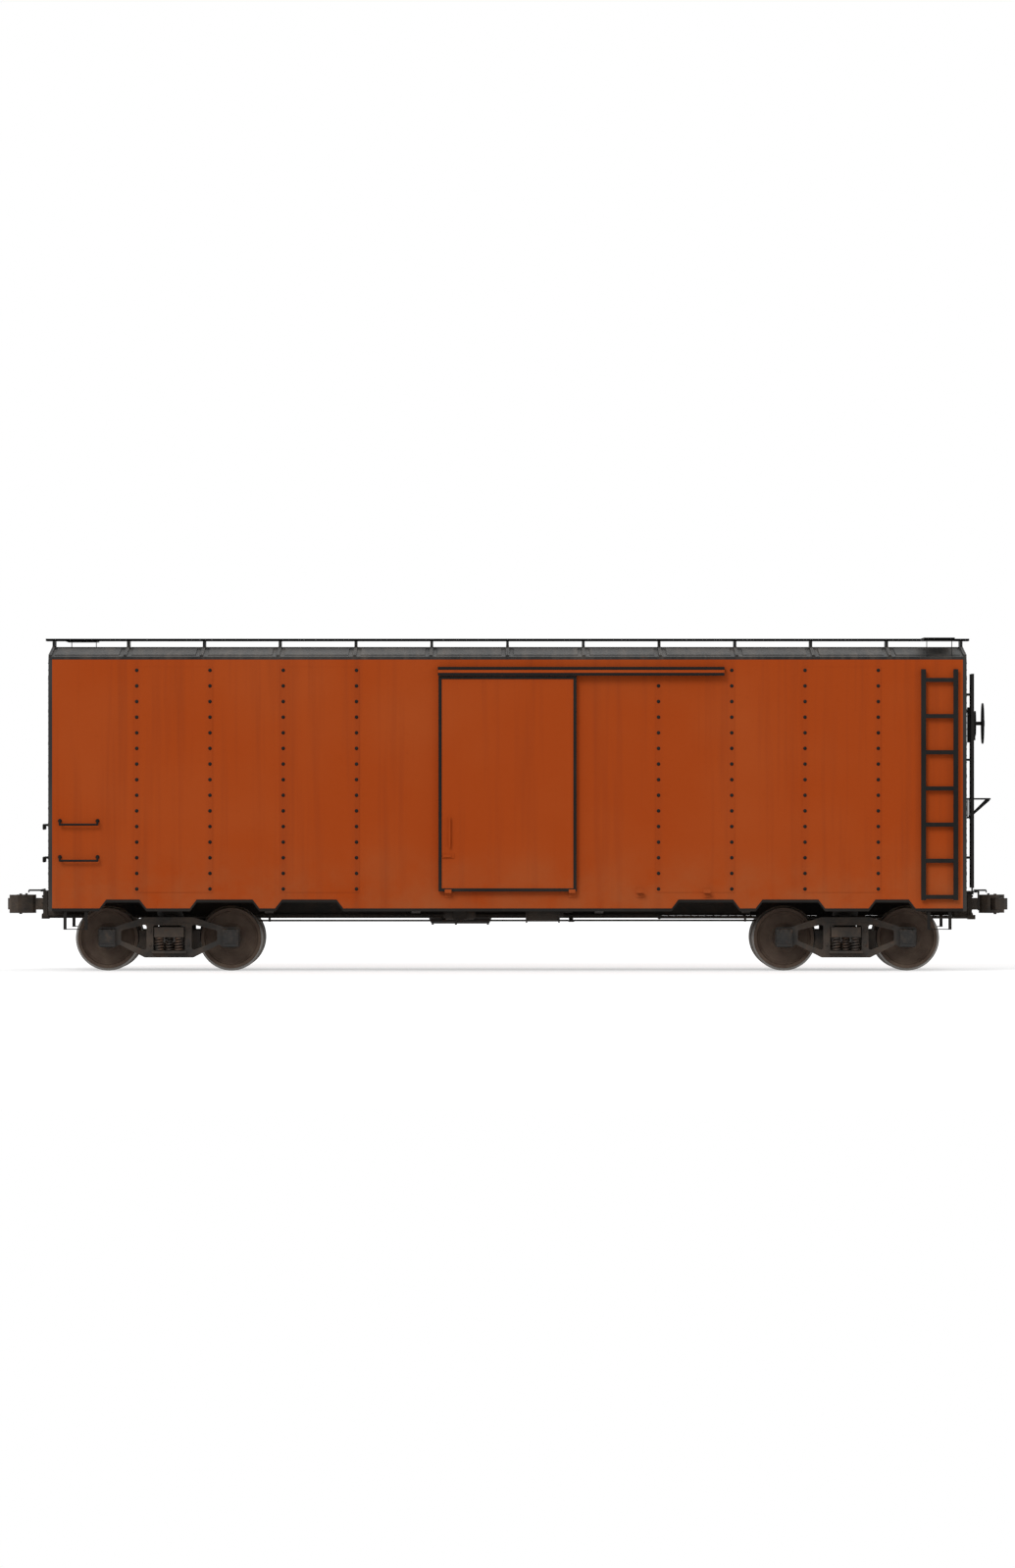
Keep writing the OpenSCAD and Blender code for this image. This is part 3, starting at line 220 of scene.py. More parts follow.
def brownPaint(name, s, lips=None):
    f = Finish(name, specular=0.14)
    broad = f.noise(0.55, 2.0)
    fine = f.noise(14.0, 4.0, 0.65)
    washed = f.noise(1.0, 3.0, 0.6, vector=f.stretched(6.5, 6.5, 0.22))
    colour = f.mix(broad.between(0.42, 0.72) * s["fade"], s["colour"], s["faded"])
    colour = f.mix(washed.between(0.50, 0.80) * s["streaks"], colour, s["grimeAndShade"])
    colour = f.mix(fine.between(0.62, 0.80) * 0.18, colour, s["grimeAndShade"])
    # darker in streaks along the laps of the side sheets: rain-borne dirt, and painted shade where one sheet
    # laps over the next
    step = (abs(f.x) - seams[0]) / seamPitch
    away = abs(step - (step + 0.5).floor()) * seamPitch
    onSheets = abs(f.x).band(seams[0] - 0.2, seams[-1] + 0.2, 0.02)
    runs = f.noise(1.0, 3.0, 0.6, vector=f.stretched(9.0, 9.0, 0.9))
    dirtAndShade = away.between(0.075, 0.012) * onSheets * runs
    # the grime colour here is partly painted shade along the laps, partly streaky dirt
    colour = f.mix(dirtAndShade * s["lapDirtAndShade"], colour, s["grimeAndShade"])
    # road dust, thickest at the sill
    dust = f.z.between(1.75, 0.80) * f.noise(2.3, 4.0, 0.6).between(0.30, 0.75)
    colour = f.mix(dust * s["dust"], colour, s["dustColour"])
    colour = f.mix(f.up.between(0.5, 0.95) * 0.35, colour, s["dustColour"])
    if lips:
        # only the sunk face between the two lips of the hood is brown
        low, high, face, lipColour = lips
        sunk = (f.z > low) * (f.z < high) * (abs(f.y) > face)
        colour = f.mix(sunk, lipColour, colour)
    f.set(colour=colour, roughness=s["roughness"] + 0.16 * (fine - 0.5) + 0.08 * dust)
    ripple = f.noise(1.15, 1.5, 0.4) + fine * 0.035
    f.bump(ripple, s["ripple"], 0.035)
    return f.material


blackSettings = {
    "colour": (0.0055, 0.0052, 0.0049),
    "faded": (0.0115, 0.0110, 0.0104),
    "dustColour": (0.052, 0.037, 0.026),
    "bare": (0.12, 0.105, 0.09),
    "roughness": 0.58,
    "specular": 0.13,
}

# the ends are weathered more than the trim, so that their ribs catch the light
endSettings = {
    "colour": (0.0135, 0.0128, 0.0120),
    "faded": (0.034, 0.032, 0.030),
    "dustColour": (0.105, 0.078, 0.056),
    "bare": (0.16, 0.14, 0.12),
    "roughness": 0.50,
    "specular": 0.24,
}


def blackPaint(name, s, dust=0.30, wear=0.35, streaks=0.18, low=0.9, high=2.2):
    f = Finish(name, specular=s["specular"])
    broad = f.noise(0.9, 3.0)
    fine = f.noise(24.0, 4.0, 0.65)
    washed = f.noise(1.0, 3.0, 0.6, vector=f.stretched(8.0, 8.0, 0.35))
    colour = f.mix(broad.between(0.40, 0.70), s["colour"], s["faded"])
    colour = f.mix(washed.between(0.54, 0.80) * streaks, colour, s["dustColour"])
    settled = (f.up.between(0.55, 0.98) * 0.75 + f.z.between(high, low) * 0.5).limited()
    settled = settled * f.noise(3.1, 4.0, 0.6).between(0.25, 0.72)
    colour = f.mix(settled * dust, colour, s["dustColour"])
    # paint worn through where boots and hands go
    worn = f.up.between(0.85, 0.99) * f.noise(32.0, 5.0, 0.7).between(0.56, 0.62) * wear
    colour = f.mix(worn, colour, s["bare"])
    f.set(colour=colour, roughness=s["roughness"] + 0.22 * (fine - 0.5) + 0.28 * settled - 0.12 * worn)
    f.bump(fine + broad * 2.0, 0.22, 0.0015)
    return f.material


roofSettings = {
    "colour": (0.013, 0.0125, 0.012),
    "faded": (0.034, 0.032, 0.030),
    "dustColour": (0.10, 0.080, 0.062),
    "rust": (0.10, 0.036, 0.014),
}


def roofPaint(s):
    f = Finish("roofPaint", specular=0.25)
    broad = f.noise(0.6, 4.0, 0.6)
    # rain carries the dirt down both slopes
    washed = f.noise(1.0, 4.0, 0.65, vector=f.stretched(9.0, 0.55, 1.0))
    fine = f.noise(38.0, 4.0, 0.7)
    colour = f.mix(broad.between(0.38, 0.66), s["colour"], s["faded"])
    colour = f.mix(washed.between(0.44, 0.74) * 0.5, colour, s["dustColour"])
    spots = f.noise(11.0, 5.0, 0.7).between(0.64, 0.70)
    colour = f.mix(spots * 0.55, colour, s["rust"])
    f.set(colour=colour, roughness=0.62 + 0.2 * (fine - 0.5) + 0.2 * spots)
    f.bump(fine * 0.4 + f.noise(2.0, 2.0) * 6.0, 0.25, 0.002)
    return f.material


underframeSettings = {
    "colour": (0.016, 0.0145, 0.013),
    "dustColour": (0.105, 0.073, 0.050),
    "rust": (0.085, 0.031, 0.013),
    "dust": 0.6,
}


def underframePaint(s):
    f = Finish("underframePaint", specular=0.2)
    fine = f.noise(22.0, 5.0, 0.65)
    patches = f.noise(2.6, 5.0, 0.65)
    dust = patches.between(0.36, 0.70) * (0.55 + f.up.between(0.3, 0.95) * 0.45)
    colour = f.mix(dust * s["dust"], s["colour"], s["dustColour"])
    rust = f.noise(7.5, 6.0, 0.72).between(0.60, 0.70)
    colour = f.mix(rust * 0.5, colour, s["rust"])
    f.set(colour=colour, roughness=0.68 + 0.25 * (fine - 0.5) + 0.15 * dust)
    f.bump(fine, 0.35, 0.0015)
    return f.material


truckX = abs(jointPlace("b_truck_swivel").x)
axleX = abs(jointPlace("b_outer_wheels_roll").x)
axleHeight = jointPlace("b_outer_wheels_roll").z
halfBase = axleX - truckX
frameOuter = corners("b_truck_side_frames")[1].y

castSettings = {
    "colour": (0.022, 0.019, 0.0165),
    "dustColour": (0.115, 0.078, 0.052),
    "rust": (0.092, 0.038, 0.018),
    "oil": (0.006, 0.0055, 0.005),
    "grain": 0.55,
}


def castSteel(s):
    f = Finish("castSteel", specular=0.3)
    grain = f.noise(85.0, 4.0, 0.7)
    lumps = f.noise(9.0, 4.0, 0.6)
    patches = f.noise(3.4, 5.0, 0.65)
    colour = f.mix(patches.between(0.40, 0.72) * 0.55, s["colour"], s["dustColour"])
    colour = f.mix(f.noise(6.1, 6.0, 0.7).between(0.56, 0.70) * 0.45, colour, s["rust"])
    settled = f.up.between(0.45, 0.95) * 0.45 * patches.between(0.25, 0.6)
    colour = f.mix(settled, colour, s["dustColour"])
    # oil thrown out of the journal boxes
    along = abs(abs(f.x) - truckX) - halfBase
    down = f.z - axleHeight
    reach = (along * along + down * down * 0.45) ** 0.5
    oily = reach.between(0.25, 0.10) * abs(f.y).between(frameOuter - 0.20, frameOuter - 0.10)
    oily = oily * f.noise(13.0, 3.0).between(0.28, 0.55)
    colour = f.mix(oily * 0.85, colour, s["oil"])
    f.set(colour=colour, roughness=0.66 + 0.2 * (grain - 0.5) - 0.30 * oily)
    f.bump(grain + lumps * 1.5, s["grain"], 0.0022)
    return f.material


# the flanges reach below the rails' tops by this much, down to the frame's zero
flangeHeight = 0.025
treadRadius = axleHeight - flangeHeight

wheelSettings = {
    "rust": (0.058, 0.034, 0.022),
    "dust": (0.125, 0.088, 0.060),
    "bright": (0.235, 0.224, 0.210),
    "grease": (0.009, 0.008, 0.007),
}


def wheelSteel(s):
    f = Finish("wheelSteel", specular=0.4)
    # every wheelset stands the same distance from its own truck's centre
    along = abs(abs(f.x) - truckX) - halfBase
    down = f.z - axleHeight
    radius = (along * along + down * down) ** 0.5
    patches = f.noise(5.0, 5.0, 0.65)
    fine = f.noise(60.0, 4.0, 0.6)
    colour = f.mix(patches.between(0.35, 0.70) * 0.6, s["rust"], s["dust"])
    rings = (radius * 55.0 + fine * 0.6) % 1.0
    colour = f.mix(rings.between(0.55, 0.95) * 0.16, colour, s["grease"])
    hub = radius.between(0.20, 0.10) * f.noise(14.0, 3.0).between(0.30, 0.6)
    colour = f.mix(hub * 0.7, colour, s["grease"])
    # the tread and the root of the flange are worn bright
    bright = radius.between(treadRadius - 0.0085, treadRadius - 0.0045)
    bright = bright * radius.between(treadRadius + 0.021, treadRadius + 0.016)
    # rolling leaves fine streaks that run around the tread
    around = f.node("ShaderNodeCombineXYZ", sockets={
        0: along / radius * 0.8, 1: down / radius * 0.8, 2: f.y * 70.0})
    streaks = f.noise(1.0, 3.0, 0.6, vector=around.outputs[0]).between(0.35, 0.60)
    bright = bright * (0.82 + 0.18 * streaks)
    colour = f.mix(bright, colour, s["bright"])
    f.set(colour=colour, metallic=bright * 0.95,
          roughness=0.74 + 0.16 * (fine - 0.5) - 0.36 * bright)
    f.bump(fine * (1.0 - bright * 0.9), 0.3, 0.0012)
    return f.material


springSettings = {
    "colour": (0.040, 0.034, 0.030),
    "rust": (0.098, 0.055, 0.034),
}


def springSteel(s):
    f = Finish("springSteel", metallic=0.35, specular=0.3)
    fine = f.noise(46.0, 4.0, 0.65)
    patches = f.noise(8.0, 5.0, 0.65)
    colour = f.mix(patches.between(0.42, 0.68), s["colour"], s["rust"])
    f.set(colour=colour, roughness=0.56 + 0.25 * (fine - 0.5))
    f.bump(fine, 0.3, 0.0008)
    return f.material


woodSettings = {
    "pale": (0.36, 0.235, 0.130),
    "dark": (0.155, 0.083, 0.040),
    "worn": (0.30, 0.245, 0.185),
    "pore": (0.05, 0.03, 0.017),
}


def wood(name, s, along, worn=0.35):
    # the grain runs along one axis; each board has its own tone
    f = Finish(name, specular=0.2)
    squeeze = [1.0 if axis == along else 22.0 for axis in "xyz"]
    tone = f.attribute("tone")
    apart = f.node("ShaderNodeCombineXYZ", sockets={0: tone * 37.0, 1: tone * 11.0, 2: tone * 23.0})
    shifted = f.node("ShaderNodeVectorMath", {"operation": "ADD"},
                     {0: f.stretched(*squeeze), 1: apart.outputs[0]})
    grain = f.noise(1.6, 5.0, 0.62, vector=shifted.outputs[0], distortion=0.5)
    pores = f.noise(9.0, 4.0, 0.7, vector=shifted.outputs[0])
    colour = f.mix(grain.between(0.36, 0.66), s["pale"], s["dark"])
    colour = f.mix(tone * 0.45, colour, s["dark"])
    scuffs = f.noise(2.4, 5.0, 0.7).between(0.42, 0.68)
    colour = f.mix(scuffs * worn, colour, s["worn"])
    colour = f.mix(pores.between(0.60, 0.74) * 0.5, colour, s["pore"])
    f.set(colour=colour, roughness=0.72 + 0.16 * (pores - 0.5))
    f.bump(pores + grain * 0.8, 0.4, 0.0012)
    return f.material


def walkwaySteel(s):
    f = Finish("walkwaySteel", metallic=0.1, specular=0.3)
    fine = f.noise(40.0, 4.0, 0.65)
    patches = f.noise(2.2, 5.0, 0.65)
    colour = f.mix(patches.between(0.38, 0.70), s["colour"], s["faded"])
    worn = f.up.between(0.80, 0.98) * f.noise(16.0, 5.0, 0.7).between(0.46, 0.62)
    worn = worn * abs(f.y).between(0.30, 0.10)
    colour = f.mix(worn * 0.6, colour, s["bare"])
    f.set(colour=colour, roughness=0.56 + 0.2 * (fine - 0.5))
    f.bump(fine, 0.25, 0.001)
    return f.material


hoodSettings = {
    "lipDepth": 0.0045,
    "faceDepth": 0.006,
}


def hoodLips(s):
    # the sunk face's heights, how far out it starts, and the colour of the lips round it
    outer = corners("left_door_track")[0].y
    edges = heights("left_door_track", 2, lambda p: p.y < outer + s["lipDepth"])
    return edges[1] + near, edges[-2] - near, abs(outer) - s["faceDepth"], blackSettings["colour"]


brown = brownPaint("brownPaint", brownSettings)
trackPaint = brownPaint("trackPaint", brownSettings, hoodLips(hoodSettings))
black = blackPaint("blackPaint", blackSettings)
endPaint = blackPaint("endPaint", endSettings, dust=0.6, wear=0.0, streaks=0.5, low=0.8, high=2.6)
rivetPaint = blackPaint("rivetPaint", blackSettings, dust=0.08, wear=0.0, streaks=0.0)
roofBlack = roofPaint(roofSettings)
under = underframePaint(underframeSettings)
casting = castSteel(castSettings)
steel = wheelSteel(wheelSettings)
spring = springSteel(springSettings)
floorWood = wood("floorWood", woodSettings, "y", worn=0.6)
liningWood = wood("liningWood", woodSettings, "x")
endWood = wood("endWood", woodSettings, "y")
grating = walkwaySteel(blackSettings)

bySlot = {
    "side_paint": brown,
    "black_paint": black,
    "underframe": under,
    "casting": casting,
    "wheel_steel": steel,
    "spring_steel": spring,
    "timber": floorWood,
    "walkway": grating,
}
byNode = {
    "a_end_wall": endPaint,
    "b_end_wall": endPaint,
    "roof": roofBlack,
    "left_door_track": trackPaint,
    "right_door_track": trackPaint,
}
for part in record["subparts"]:
    for slot in nodes[part["node"]].material_slots:
        slot.material = byNode.get(part["node"], bySlot[part["material_slot"]])
print("finishes: done")


# Growing pieces by rule

class Growth:
    # a Geometry Nodes tree under construction, with its sizes as named inputs
    def __init__(self, name, sizes):
        self.tree = bpy.data.node_groups.new(name, "GeometryNodeTree")
        self.tree.is_modifier = True
        kinds = {float: "NodeSocketFloat", int: "NodeSocketInt", tuple: "NodeSocketVector"}
        face = self.tree.interface
        face.new_socket("Geometry", in_out="INPUT", socket_type="NodeSocketGeometry")
        for label, value in sizes.items():
            made = face.new_socket(label, in_out="INPUT", socket_type=kinds[type(value)])
            made.default_value = value
        face.new_socket("Material", in_out="INPUT", socket_type="NodeSocketMaterial")
        face.new_socket("Geometry", in_out="OUTPUT", socket_type="NodeSocketGeometry")
        self.given = {s.name: s for s in self.tree.nodes.new("NodeGroupInput").outputs}
        self.result = self.tree.nodes.new("NodeGroupOutput")

    def value(self, label):
        return Value(self.tree, self.given[label])

    def add(self, kind, settings=None, sockets=None):
        return addNode(self.tree, kind, settings, sockets)

    def vector(self, x, y, z):
        return self.add("ShaderNodeCombineXYZ", sockets={0: x, 1: y, 2: z}).outputs[0]

    def smooth(self, geometry):
        return self.add("GeometryNodeSetShadeSmooth", sockets={"Geometry": geometry}).outputs[0]

    def outward(self):
        # turns an instance's Z axis to the direction stored on its point
        stored = self.add("GeometryNodeInputNamedAttribute", {"data_type": "FLOAT_VECTOR"},
                          {"Name": "outward"})
        return self.add("FunctionNodeAlignRotationToVector", {"axis": "Z"},
                        {"Vector": stored.outputs[0]}).outputs[0]

    def finish(self, geometry):
        whole = self.add("GeometryNodeRealizeInstances", sockets={"Geometry": geometry}).outputs[0]
        painted = self.add("GeometryNodeSetMaterial",
                           sockets={"Geometry": whole, "Material": self.given["Material"]})
        join(self.tree, self.result.inputs[0], painted.outputs[0])
        return self

    # evaluates the tree on a base mesh and gives the result as a plain mesh
    def grow(self, base, material, **sizes):
        host = bpy.data.objects.new("host", base)
        scene.collection.objects.link(host)
        modifier = host.modifiers.new("growth", "NODES")
        modifier.node_group = self.tree
        wanted = {label.replace("_", " "): value for label, value in sizes.items()}
        wanted["Material"] = material
        for item in self.tree.interface.items_tree:
            if item.item_type == "SOCKET" and item.in_out == "INPUT" and item.name in wanted:
                modifier[item.identifier] = wanted.pop(item.name)
        assert not wanted, wanted
        graph = bpy.context.evaluated_depsgraph_get()
        mesh = bpy.data.meshes.new_from_object(host.evaluated_get(graph), depsgraph=graph)
        bpy.data.objects.remove(host)
        return mesh


def addPiece(name, mesh, body, replaced=()):
    mesh.name = name
    piece = bpy.data.objects.new(name, mesh)
    scene.collection.objects.link(piece)
    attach(piece, body)
    if replaced:
        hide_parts(*replaced)
    print("piece:", name, len(mesh.polygons), "faces")


def joined(meshes):
    # one mesh out of several, materials and stored values kept
    made = [bpy.data.objects.new("part", mesh) for mesh in meshes]
    for item in made:
        scene.collection.objects.link(item)
    first = made[0]
    with bpy.context.temp_override(active_object=first, object=first, selected_editable_objects=made):
        bpy.ops.object.join()
    whole = first.data
    bpy.data.objects.remove(first)
    return whole


def facingMesh(name, places, edges, directions):
    # loose points or edges, each corner with the direction that it faces
    mesh = bpy.data.meshes.new(name)
    mesh.from_pydata(places, edges, [])
    stored = mesh.attributes.new("outward", "FLOAT_VECTOR", "POINT")
    stored.data.foreach_set("vector", [c for out in directions for c in out])
    return mesh


def pointMesh(points):
    return facingMesh("points", [p for p, out in points], [], [out for p, out in points])


def lineMesh(lines):
    places = [p for a, b, out in lines for p in (a, b)]
    edges = [(2 * i, 2 * i + 1) for i in range(len(lines))]
    return facingMesh("lines", places, edges, [out for a, b, out in lines for _ in (a, b)])


def rivetTree():
    g = Growth("rivetRows", {"Pitch": 0.1, "Head Radius": 0.01, "Head Height": 0.006, "Sides": 10})
    lines = g.add("GeometryNodeMeshToCurve", sockets={"Mesh": g.given["Geometry"]}).outputs[0]
    spaced = g.add("GeometryNodeResampleCurve", {"mode": "LENGTH"},
                   {"Curve": lines, "Length": g.given["Pitch"]})
    ball = g.add("GeometryNodeMeshUVSphere",
                 sockets={"Segments": g.given["Sides"], "Rings": 6, "Radius": 1.0})
    size = g.vector(g.value("Head Radius"), g.value("Head Radius"), g.value("Head Height"))
    head = g.add("GeometryNodeTransform", sockets={"Geometry": g.smooth(ball.outputs[0]), "Scale": size})
    placed = g.add("GeometryNodeInstanceOnPoints", sockets={
        "Points": spaced.outputs[0], "Instance": head.outputs[0], "Rotation": g.outward()})
    return g.finish(placed.outputs[0])


def boltTree():
    # a hexagon head on a round washer
    g = Growth("boltHeads", {"Head Radius": 0.016, "Head Height": 0.012, "Washer": 1.5,
                             "Washer Height": 0.006})
    flat = g.value("Washer Height")
    head = g.add("GeometryNodeMeshCylinder", sockets={
        "Vertices": 6, "Radius": g.given["Head Radius"], "Depth": g.given["Head Height"]})
    raised = g.add("GeometryNodeTransform", sockets={
        "Geometry": head.outputs[0],
        "Translation": g.vector(0.0, 0.0, g.value("Head Height") * 0.5 + flat * 0.5)})
    plate = g.add("GeometryNodeMeshCylinder", sockets={
        "Vertices": 14, "Radius": g.value("Head Radius") * g.value("Washer"), "Depth": flat})
    both = g.add("GeometryNodeJoinGeometry")
    for item in (plate, raised):
        g.tree.links.new(item.outputs[0], both.inputs[0])
    placed = g.add("GeometryNodeInstanceOnPoints", sockets={
        "Points": g.given["Geometry"], "Instance": both.outputs[0], "Rotation": g.outward()})
    return g.finish(placed.outputs[0])


def boardTree():
    # a row of the board that it is given, each with a tone of its own
    g = Growth("boardRow", {"Count": 10, "Step": (0.14, 0.0, 0.0), "Seed": 3})
    line = g.add("GeometryNodeMeshLine", {"mode": "OFFSET"},
                 {"Count": g.given["Count"], "Offset": g.given["Step"]})
    placed = g.add("GeometryNodeInstanceOnPoints",
                   sockets={"Points": line.outputs[0], "Instance": g.given["Geometry"]}).outputs[0]
    chance = g.add("FunctionNodeRandomValue", {"data_type": "FLOAT"}, {"Seed": g.given["Seed"]})
    tone = next(s for s in chance.outputs if s.enabled)
    toned = g.add("GeometryNodeStoreNamedAttribute", {"data_type": "FLOAT", "domain": "INSTANCE"},
                  {"Geometry": placed, "Name": "tone", "Value": tone})
    return g.finish(toned.outputs[0])


def coilTree():
    # a coil whose end turns lie flat, stood on every point
    g = Growth("coilSprings", {"Coil Radius": 0.045, "Wire Radius": 0.013, "Height": 0.18, "Turns": 5.0,
                               "Steps": 100, "Level Turns": 0.75, "Level Rise": 0.06})
    line = g.add("GeometryNodeCurvePrimitiveLine").outputs[0]
    steps = g.add("GeometryNodeResampleCurve", {"mode": "COUNT"},
                  {"Curve": line, "Count": g.given["Steps"]})
    along = Value(g.tree, g.add("GeometryNodeSplineParameter").outputs["Factor"])
    turned = along * g.value("Turns") * (2 * math.pi)
    # the first and the last part of a turn hold almost level
    level = g.value("Level Turns") / g.value("Turns")
    rise = g.value("Level Rise")
    climb = ((along - level) / (1.0 - level * 2.0)).limited()
    eased = climb * (1.0 - rise) + along * rise
    wire = g.value("Wire Radius")
    up = wire + eased * (g.value("Height") - wire * 2.0)
    reach = g.value("Coil Radius")
    spot = g.vector(turned.maths("COSINE") * reach, turned.maths("SINE") * reach, up)
    coil = g.add("GeometryNodeSetPosition", sockets={"Geometry": steps.outputs[0], "Position": spot})
    section = g.add("GeometryNodeCurvePrimitiveCircle", sockets={"Resolution": 9, "Radius": wire})
    tube = g.add("GeometryNodeCurveToMesh", sockets={
        "Curve": coil.outputs[0], "Profile Curve": section.outputs[0], "Fill Caps": True})
    placed = g.add("GeometryNodeInstanceOnPoints",
                   sockets={"Points": g.given["Geometry"], "Instance": g.smooth(tube.outputs[0])})
    return g.finish(placed.outputs[0])


def gratingTree():
    # bearing bars one way, cross bars the other, between two corners
    g = Growth("grating", {"Low": (0.0, 0.0, 0.0), "High": (1.0, 0.4, 0.03), "Bars": 14, "Crossings": 20,
                           "Bar Width": 0.005, "Cross Width": 0.006, "Cross Depth": 0.010,
                           "Cross Level": 0.006})

    def parts(label):
        made = g.add("ShaderNodeSeparateXYZ", sockets={0: g.given[label]})
        return [Value(g.tree, s) for s in made.outputs]

    lx, ly, lz = parts("Low")
    hx, hy, hz = parts("High")
    bar, cross = g.value("Bar Width"), g.value("Cross Width")
    middle = (lz + hz) * 0.5
    rows = g.add("GeometryNodeMeshLine", {"mode": "END_POINTS"}, {
        "Count": g.given["Bars"], "Start Location": g.vector((lx + hx) * 0.5, ly + bar * 0.5, middle),
        "Offset": g.vector((lx + hx) * 0.5, hy - bar * 0.5, middle)})
    long = g.add("GeometryNodeMeshCube", sockets={"Size": g.vector(hx - lx, bar, hz - lz)})
    rails = g.add("GeometryNodeInstanceOnPoints",
                  sockets={"Points": rows.outputs[0], "Instance": long.outputs[0]})
    level = hz - g.value("Cross Level")
    columns = g.add("GeometryNodeMeshLine", {"mode": "END_POINTS"}, {
        "Count": g.given["Crossings"], "Start Location": g.vector(lx + cross * 0.5, (ly + hy) * 0.5, level),
        "Offset": g.vector(hx - cross * 0.5, (ly + hy) * 0.5, level)})
    short = g.add("GeometryNodeMeshCube", sockets={"Size": g.vector(cross, hy - ly, g.value("Cross Depth"))})
    steps = g.add("GeometryNodeInstanceOnPoints",
                  sockets={"Points": columns.outputs[0], "Instance": short.outputs[0]})
    both = g.add("GeometryNodeJoinGeometry")
    for item in (rails, steps):
        g.tree.links.new(item.outputs[0], both.inputs[0])
    return g.finish(both.outputs[0])


rivets = rivetTree()
bolts = boltTree()
boards = boardTree()
coils = coilTree()
gratings = gratingTree()
print("trees: done")


# Rivets of the body

roofShape = {
    "eaveEdge": 0.040,
    "capHeight": 0.025,
}


def roofRise():
    # how far the roof's panels climb from the eaves to the ridge
    low, high = corners("roof")
    return high.z - roofShape["capHeight"] - (low.z + roofShape["eaveEdge"])


def capCentres():
    # the middles of the strips that cap the roof's seams
    high = corners("roof")[1]
    edges = heights("roof", 0, lambda p: p.z > high.z - 2 * near)
    return [(a + b) / 2 for a, b in zip(edges[::2], edges[1::2])]


def addRivets(name, lines, material, body, pitch, radius, height, sides):
    mesh = rivets.grow(lineMesh(lines), material, Pitch=pitch, Head_Radius=radius,
                       Head_Height=height, Sides=sides)
    addPiece(name, mesh, body)


seamSettings = {
    "pitch": 0.1976,
    "radius": 0.0250,
    "height": 0.011,
    "endGap": 0.045,
}


def seamRivets(s):
    y = abs(wallLow.y)
    low, high = wallLow.z + s["endGap"], wallHigh.z - s["endGap"]
    lines = [((end * x, side * y, low), (end * x, side * y, high), (0, side, 0))
             for side in (-1, 1) for end in (-1, 1) for x in seams]
    addRivets("seamRivets", lines, rivetPaint, "car", s["pitch"], s["radius"], s["height"], 14)


endRivetSettings = {
    "pitch": 0.089,
    "radius": 0.0105,
    "height": 0.006,
    "postInset": 0.036,
    "postGap": 0.05,
    "rowInset": 0.09,
    "sillRow": 0.035,
    "strikerHalf": 0.26,
    "peakHalf": 0.05,
    "peakDrop": 0.045,
    "eaveDrop": 0.03,
}


def endRivets(s):
    # down both posts, along the sill, and up both slopes of the gable
    face = corners("roof")[1].x
    low, high = corners("b_end_wall")
    plate = corners("left_side_plate")[1].z
    post, row = high.y - s["postInset"], high.y - s["rowInset"]
    sill = low.z + s["sillRow"]
    peak, eave = high.z - s["peakDrop"], plate - s["eaveDrop"]
    lines = []
    for end in (-1, 1):
        x, out = end * face, (end, 0, 0)
        for y in (-post, post):
            lines.append(((x, y, low.z + s["postGap"]), (x, y, plate - s["postGap"]), out))
        for side in (-1, 1):
            lines.append(((x, side * s["strikerHalf"], sill), (x, side * row, sill), out))
            lines.append(((x, side * s["peakHalf"], peak), (x, side * row, eave), out))
    addRivets("endRivets", lines, endPaint, "car", s["pitch"], s["radius"], s["height"], 10)


roofRivetSettings = {
    "pitch": 0.118,
    "radius": 0.008,
    "height": 0.004,
    "eaveRow": 0.019,
    "endGap": 0.06,
    "ridgeGap": 0.28,
    "eaveGap": 0.06,
}


def roofRivets(s):
    # along both eaves, and down both sides of every seam cap
    low, high = corners("roof")
    eave = corners("left_side_plate")[1].z + s["eaveRow"]
    start, stop = low.x + s["endGap"], high.x - s["endGap"]
    lines = [((start, side * high.y, eave), (stop, side * high.y, eave), (0, side, 0)) for side in (-1, 1)]
    rise = roofRise()
    for x in capCentres():
        for side in (-1, 1):
            out = Vector((0, side * rise, high.y)).normalized()
            a, b = [(x, side * y, high.z - rise * y / high.y) for y in (s["ridgeGap"], high.y - s["eaveGap"])]
            lines.append((a, b, tuple(out)))
    addRivets("roofRivets", lines, roofBlack, "car", s["pitch"], s["radius"], s["height"], 8)


frameSettings = {
    "pitch": 0.15,
    "radius": 0.008,
    "height": 0.003,
    "inset": 0.021,
    "postGap": 0.10,
    "headGap": 0.12,
}


def doorRivets(name, side, s):
    # up both posts of a door's frame and along its head
    low, high = corners(side + "_door_frame")
    out = -1 if side == "left" else 1
    y = low.y if out < 0 else high.y
    top = high.z - s["inset"]
    lines = [((x, y, low.z + s["postGap"]), (x, y, top), (0, out, 0))
             for x in (low.x + s["inset"], high.x - s["inset"])]
    lines.append(((low.x + s["headGap"], y, top), (high.x - s["headGap"], y, top), (0, out, 0)))
    addRivets(name, lines, black, side + "_door", s["pitch"], s["radius"], s["height"], 8)


seamRivets(seamSettings)
endRivets(endRivetSettings)
roofRivets(roofRivetSettings)
doorRivets("leftDoorRivets", "left", frameSettings)
doorRivets("rightDoorRivets", "right", frameSettings)
print("rivets: done")


# Rivets and bolts of the underframe

sillSettings = {
    "pitch": 0.102,
    "radius": 0.011,
    "height": 0.006,
    "flangeInset": 0.045,
    "endGap": 0.15,
    "centrePlate": 0.25,
}


def sillRivets(s):
    # under both flanges of the centre sill, clear of the trucks' centre plates
    low, high = corners("centre_sill")
    plate = s["centrePlate"]
    spans = ((low.x + s["endGap"], -truckX - plate), (-truckX + plate, truckX - plate),
             (truckX + plate, high.x - s["endGap"]))
    lines = []
    for side in (-1, 1):
        y = side * (high.y - s["flangeInset"])
        lines += [((start, y, low.z), (stop, y, low.z), (0, 0, -1)) for start, stop in spans]
    addRivets("sillRivets", lines, under, "car", s["pitch"], s["radius"], s["height"], 8)


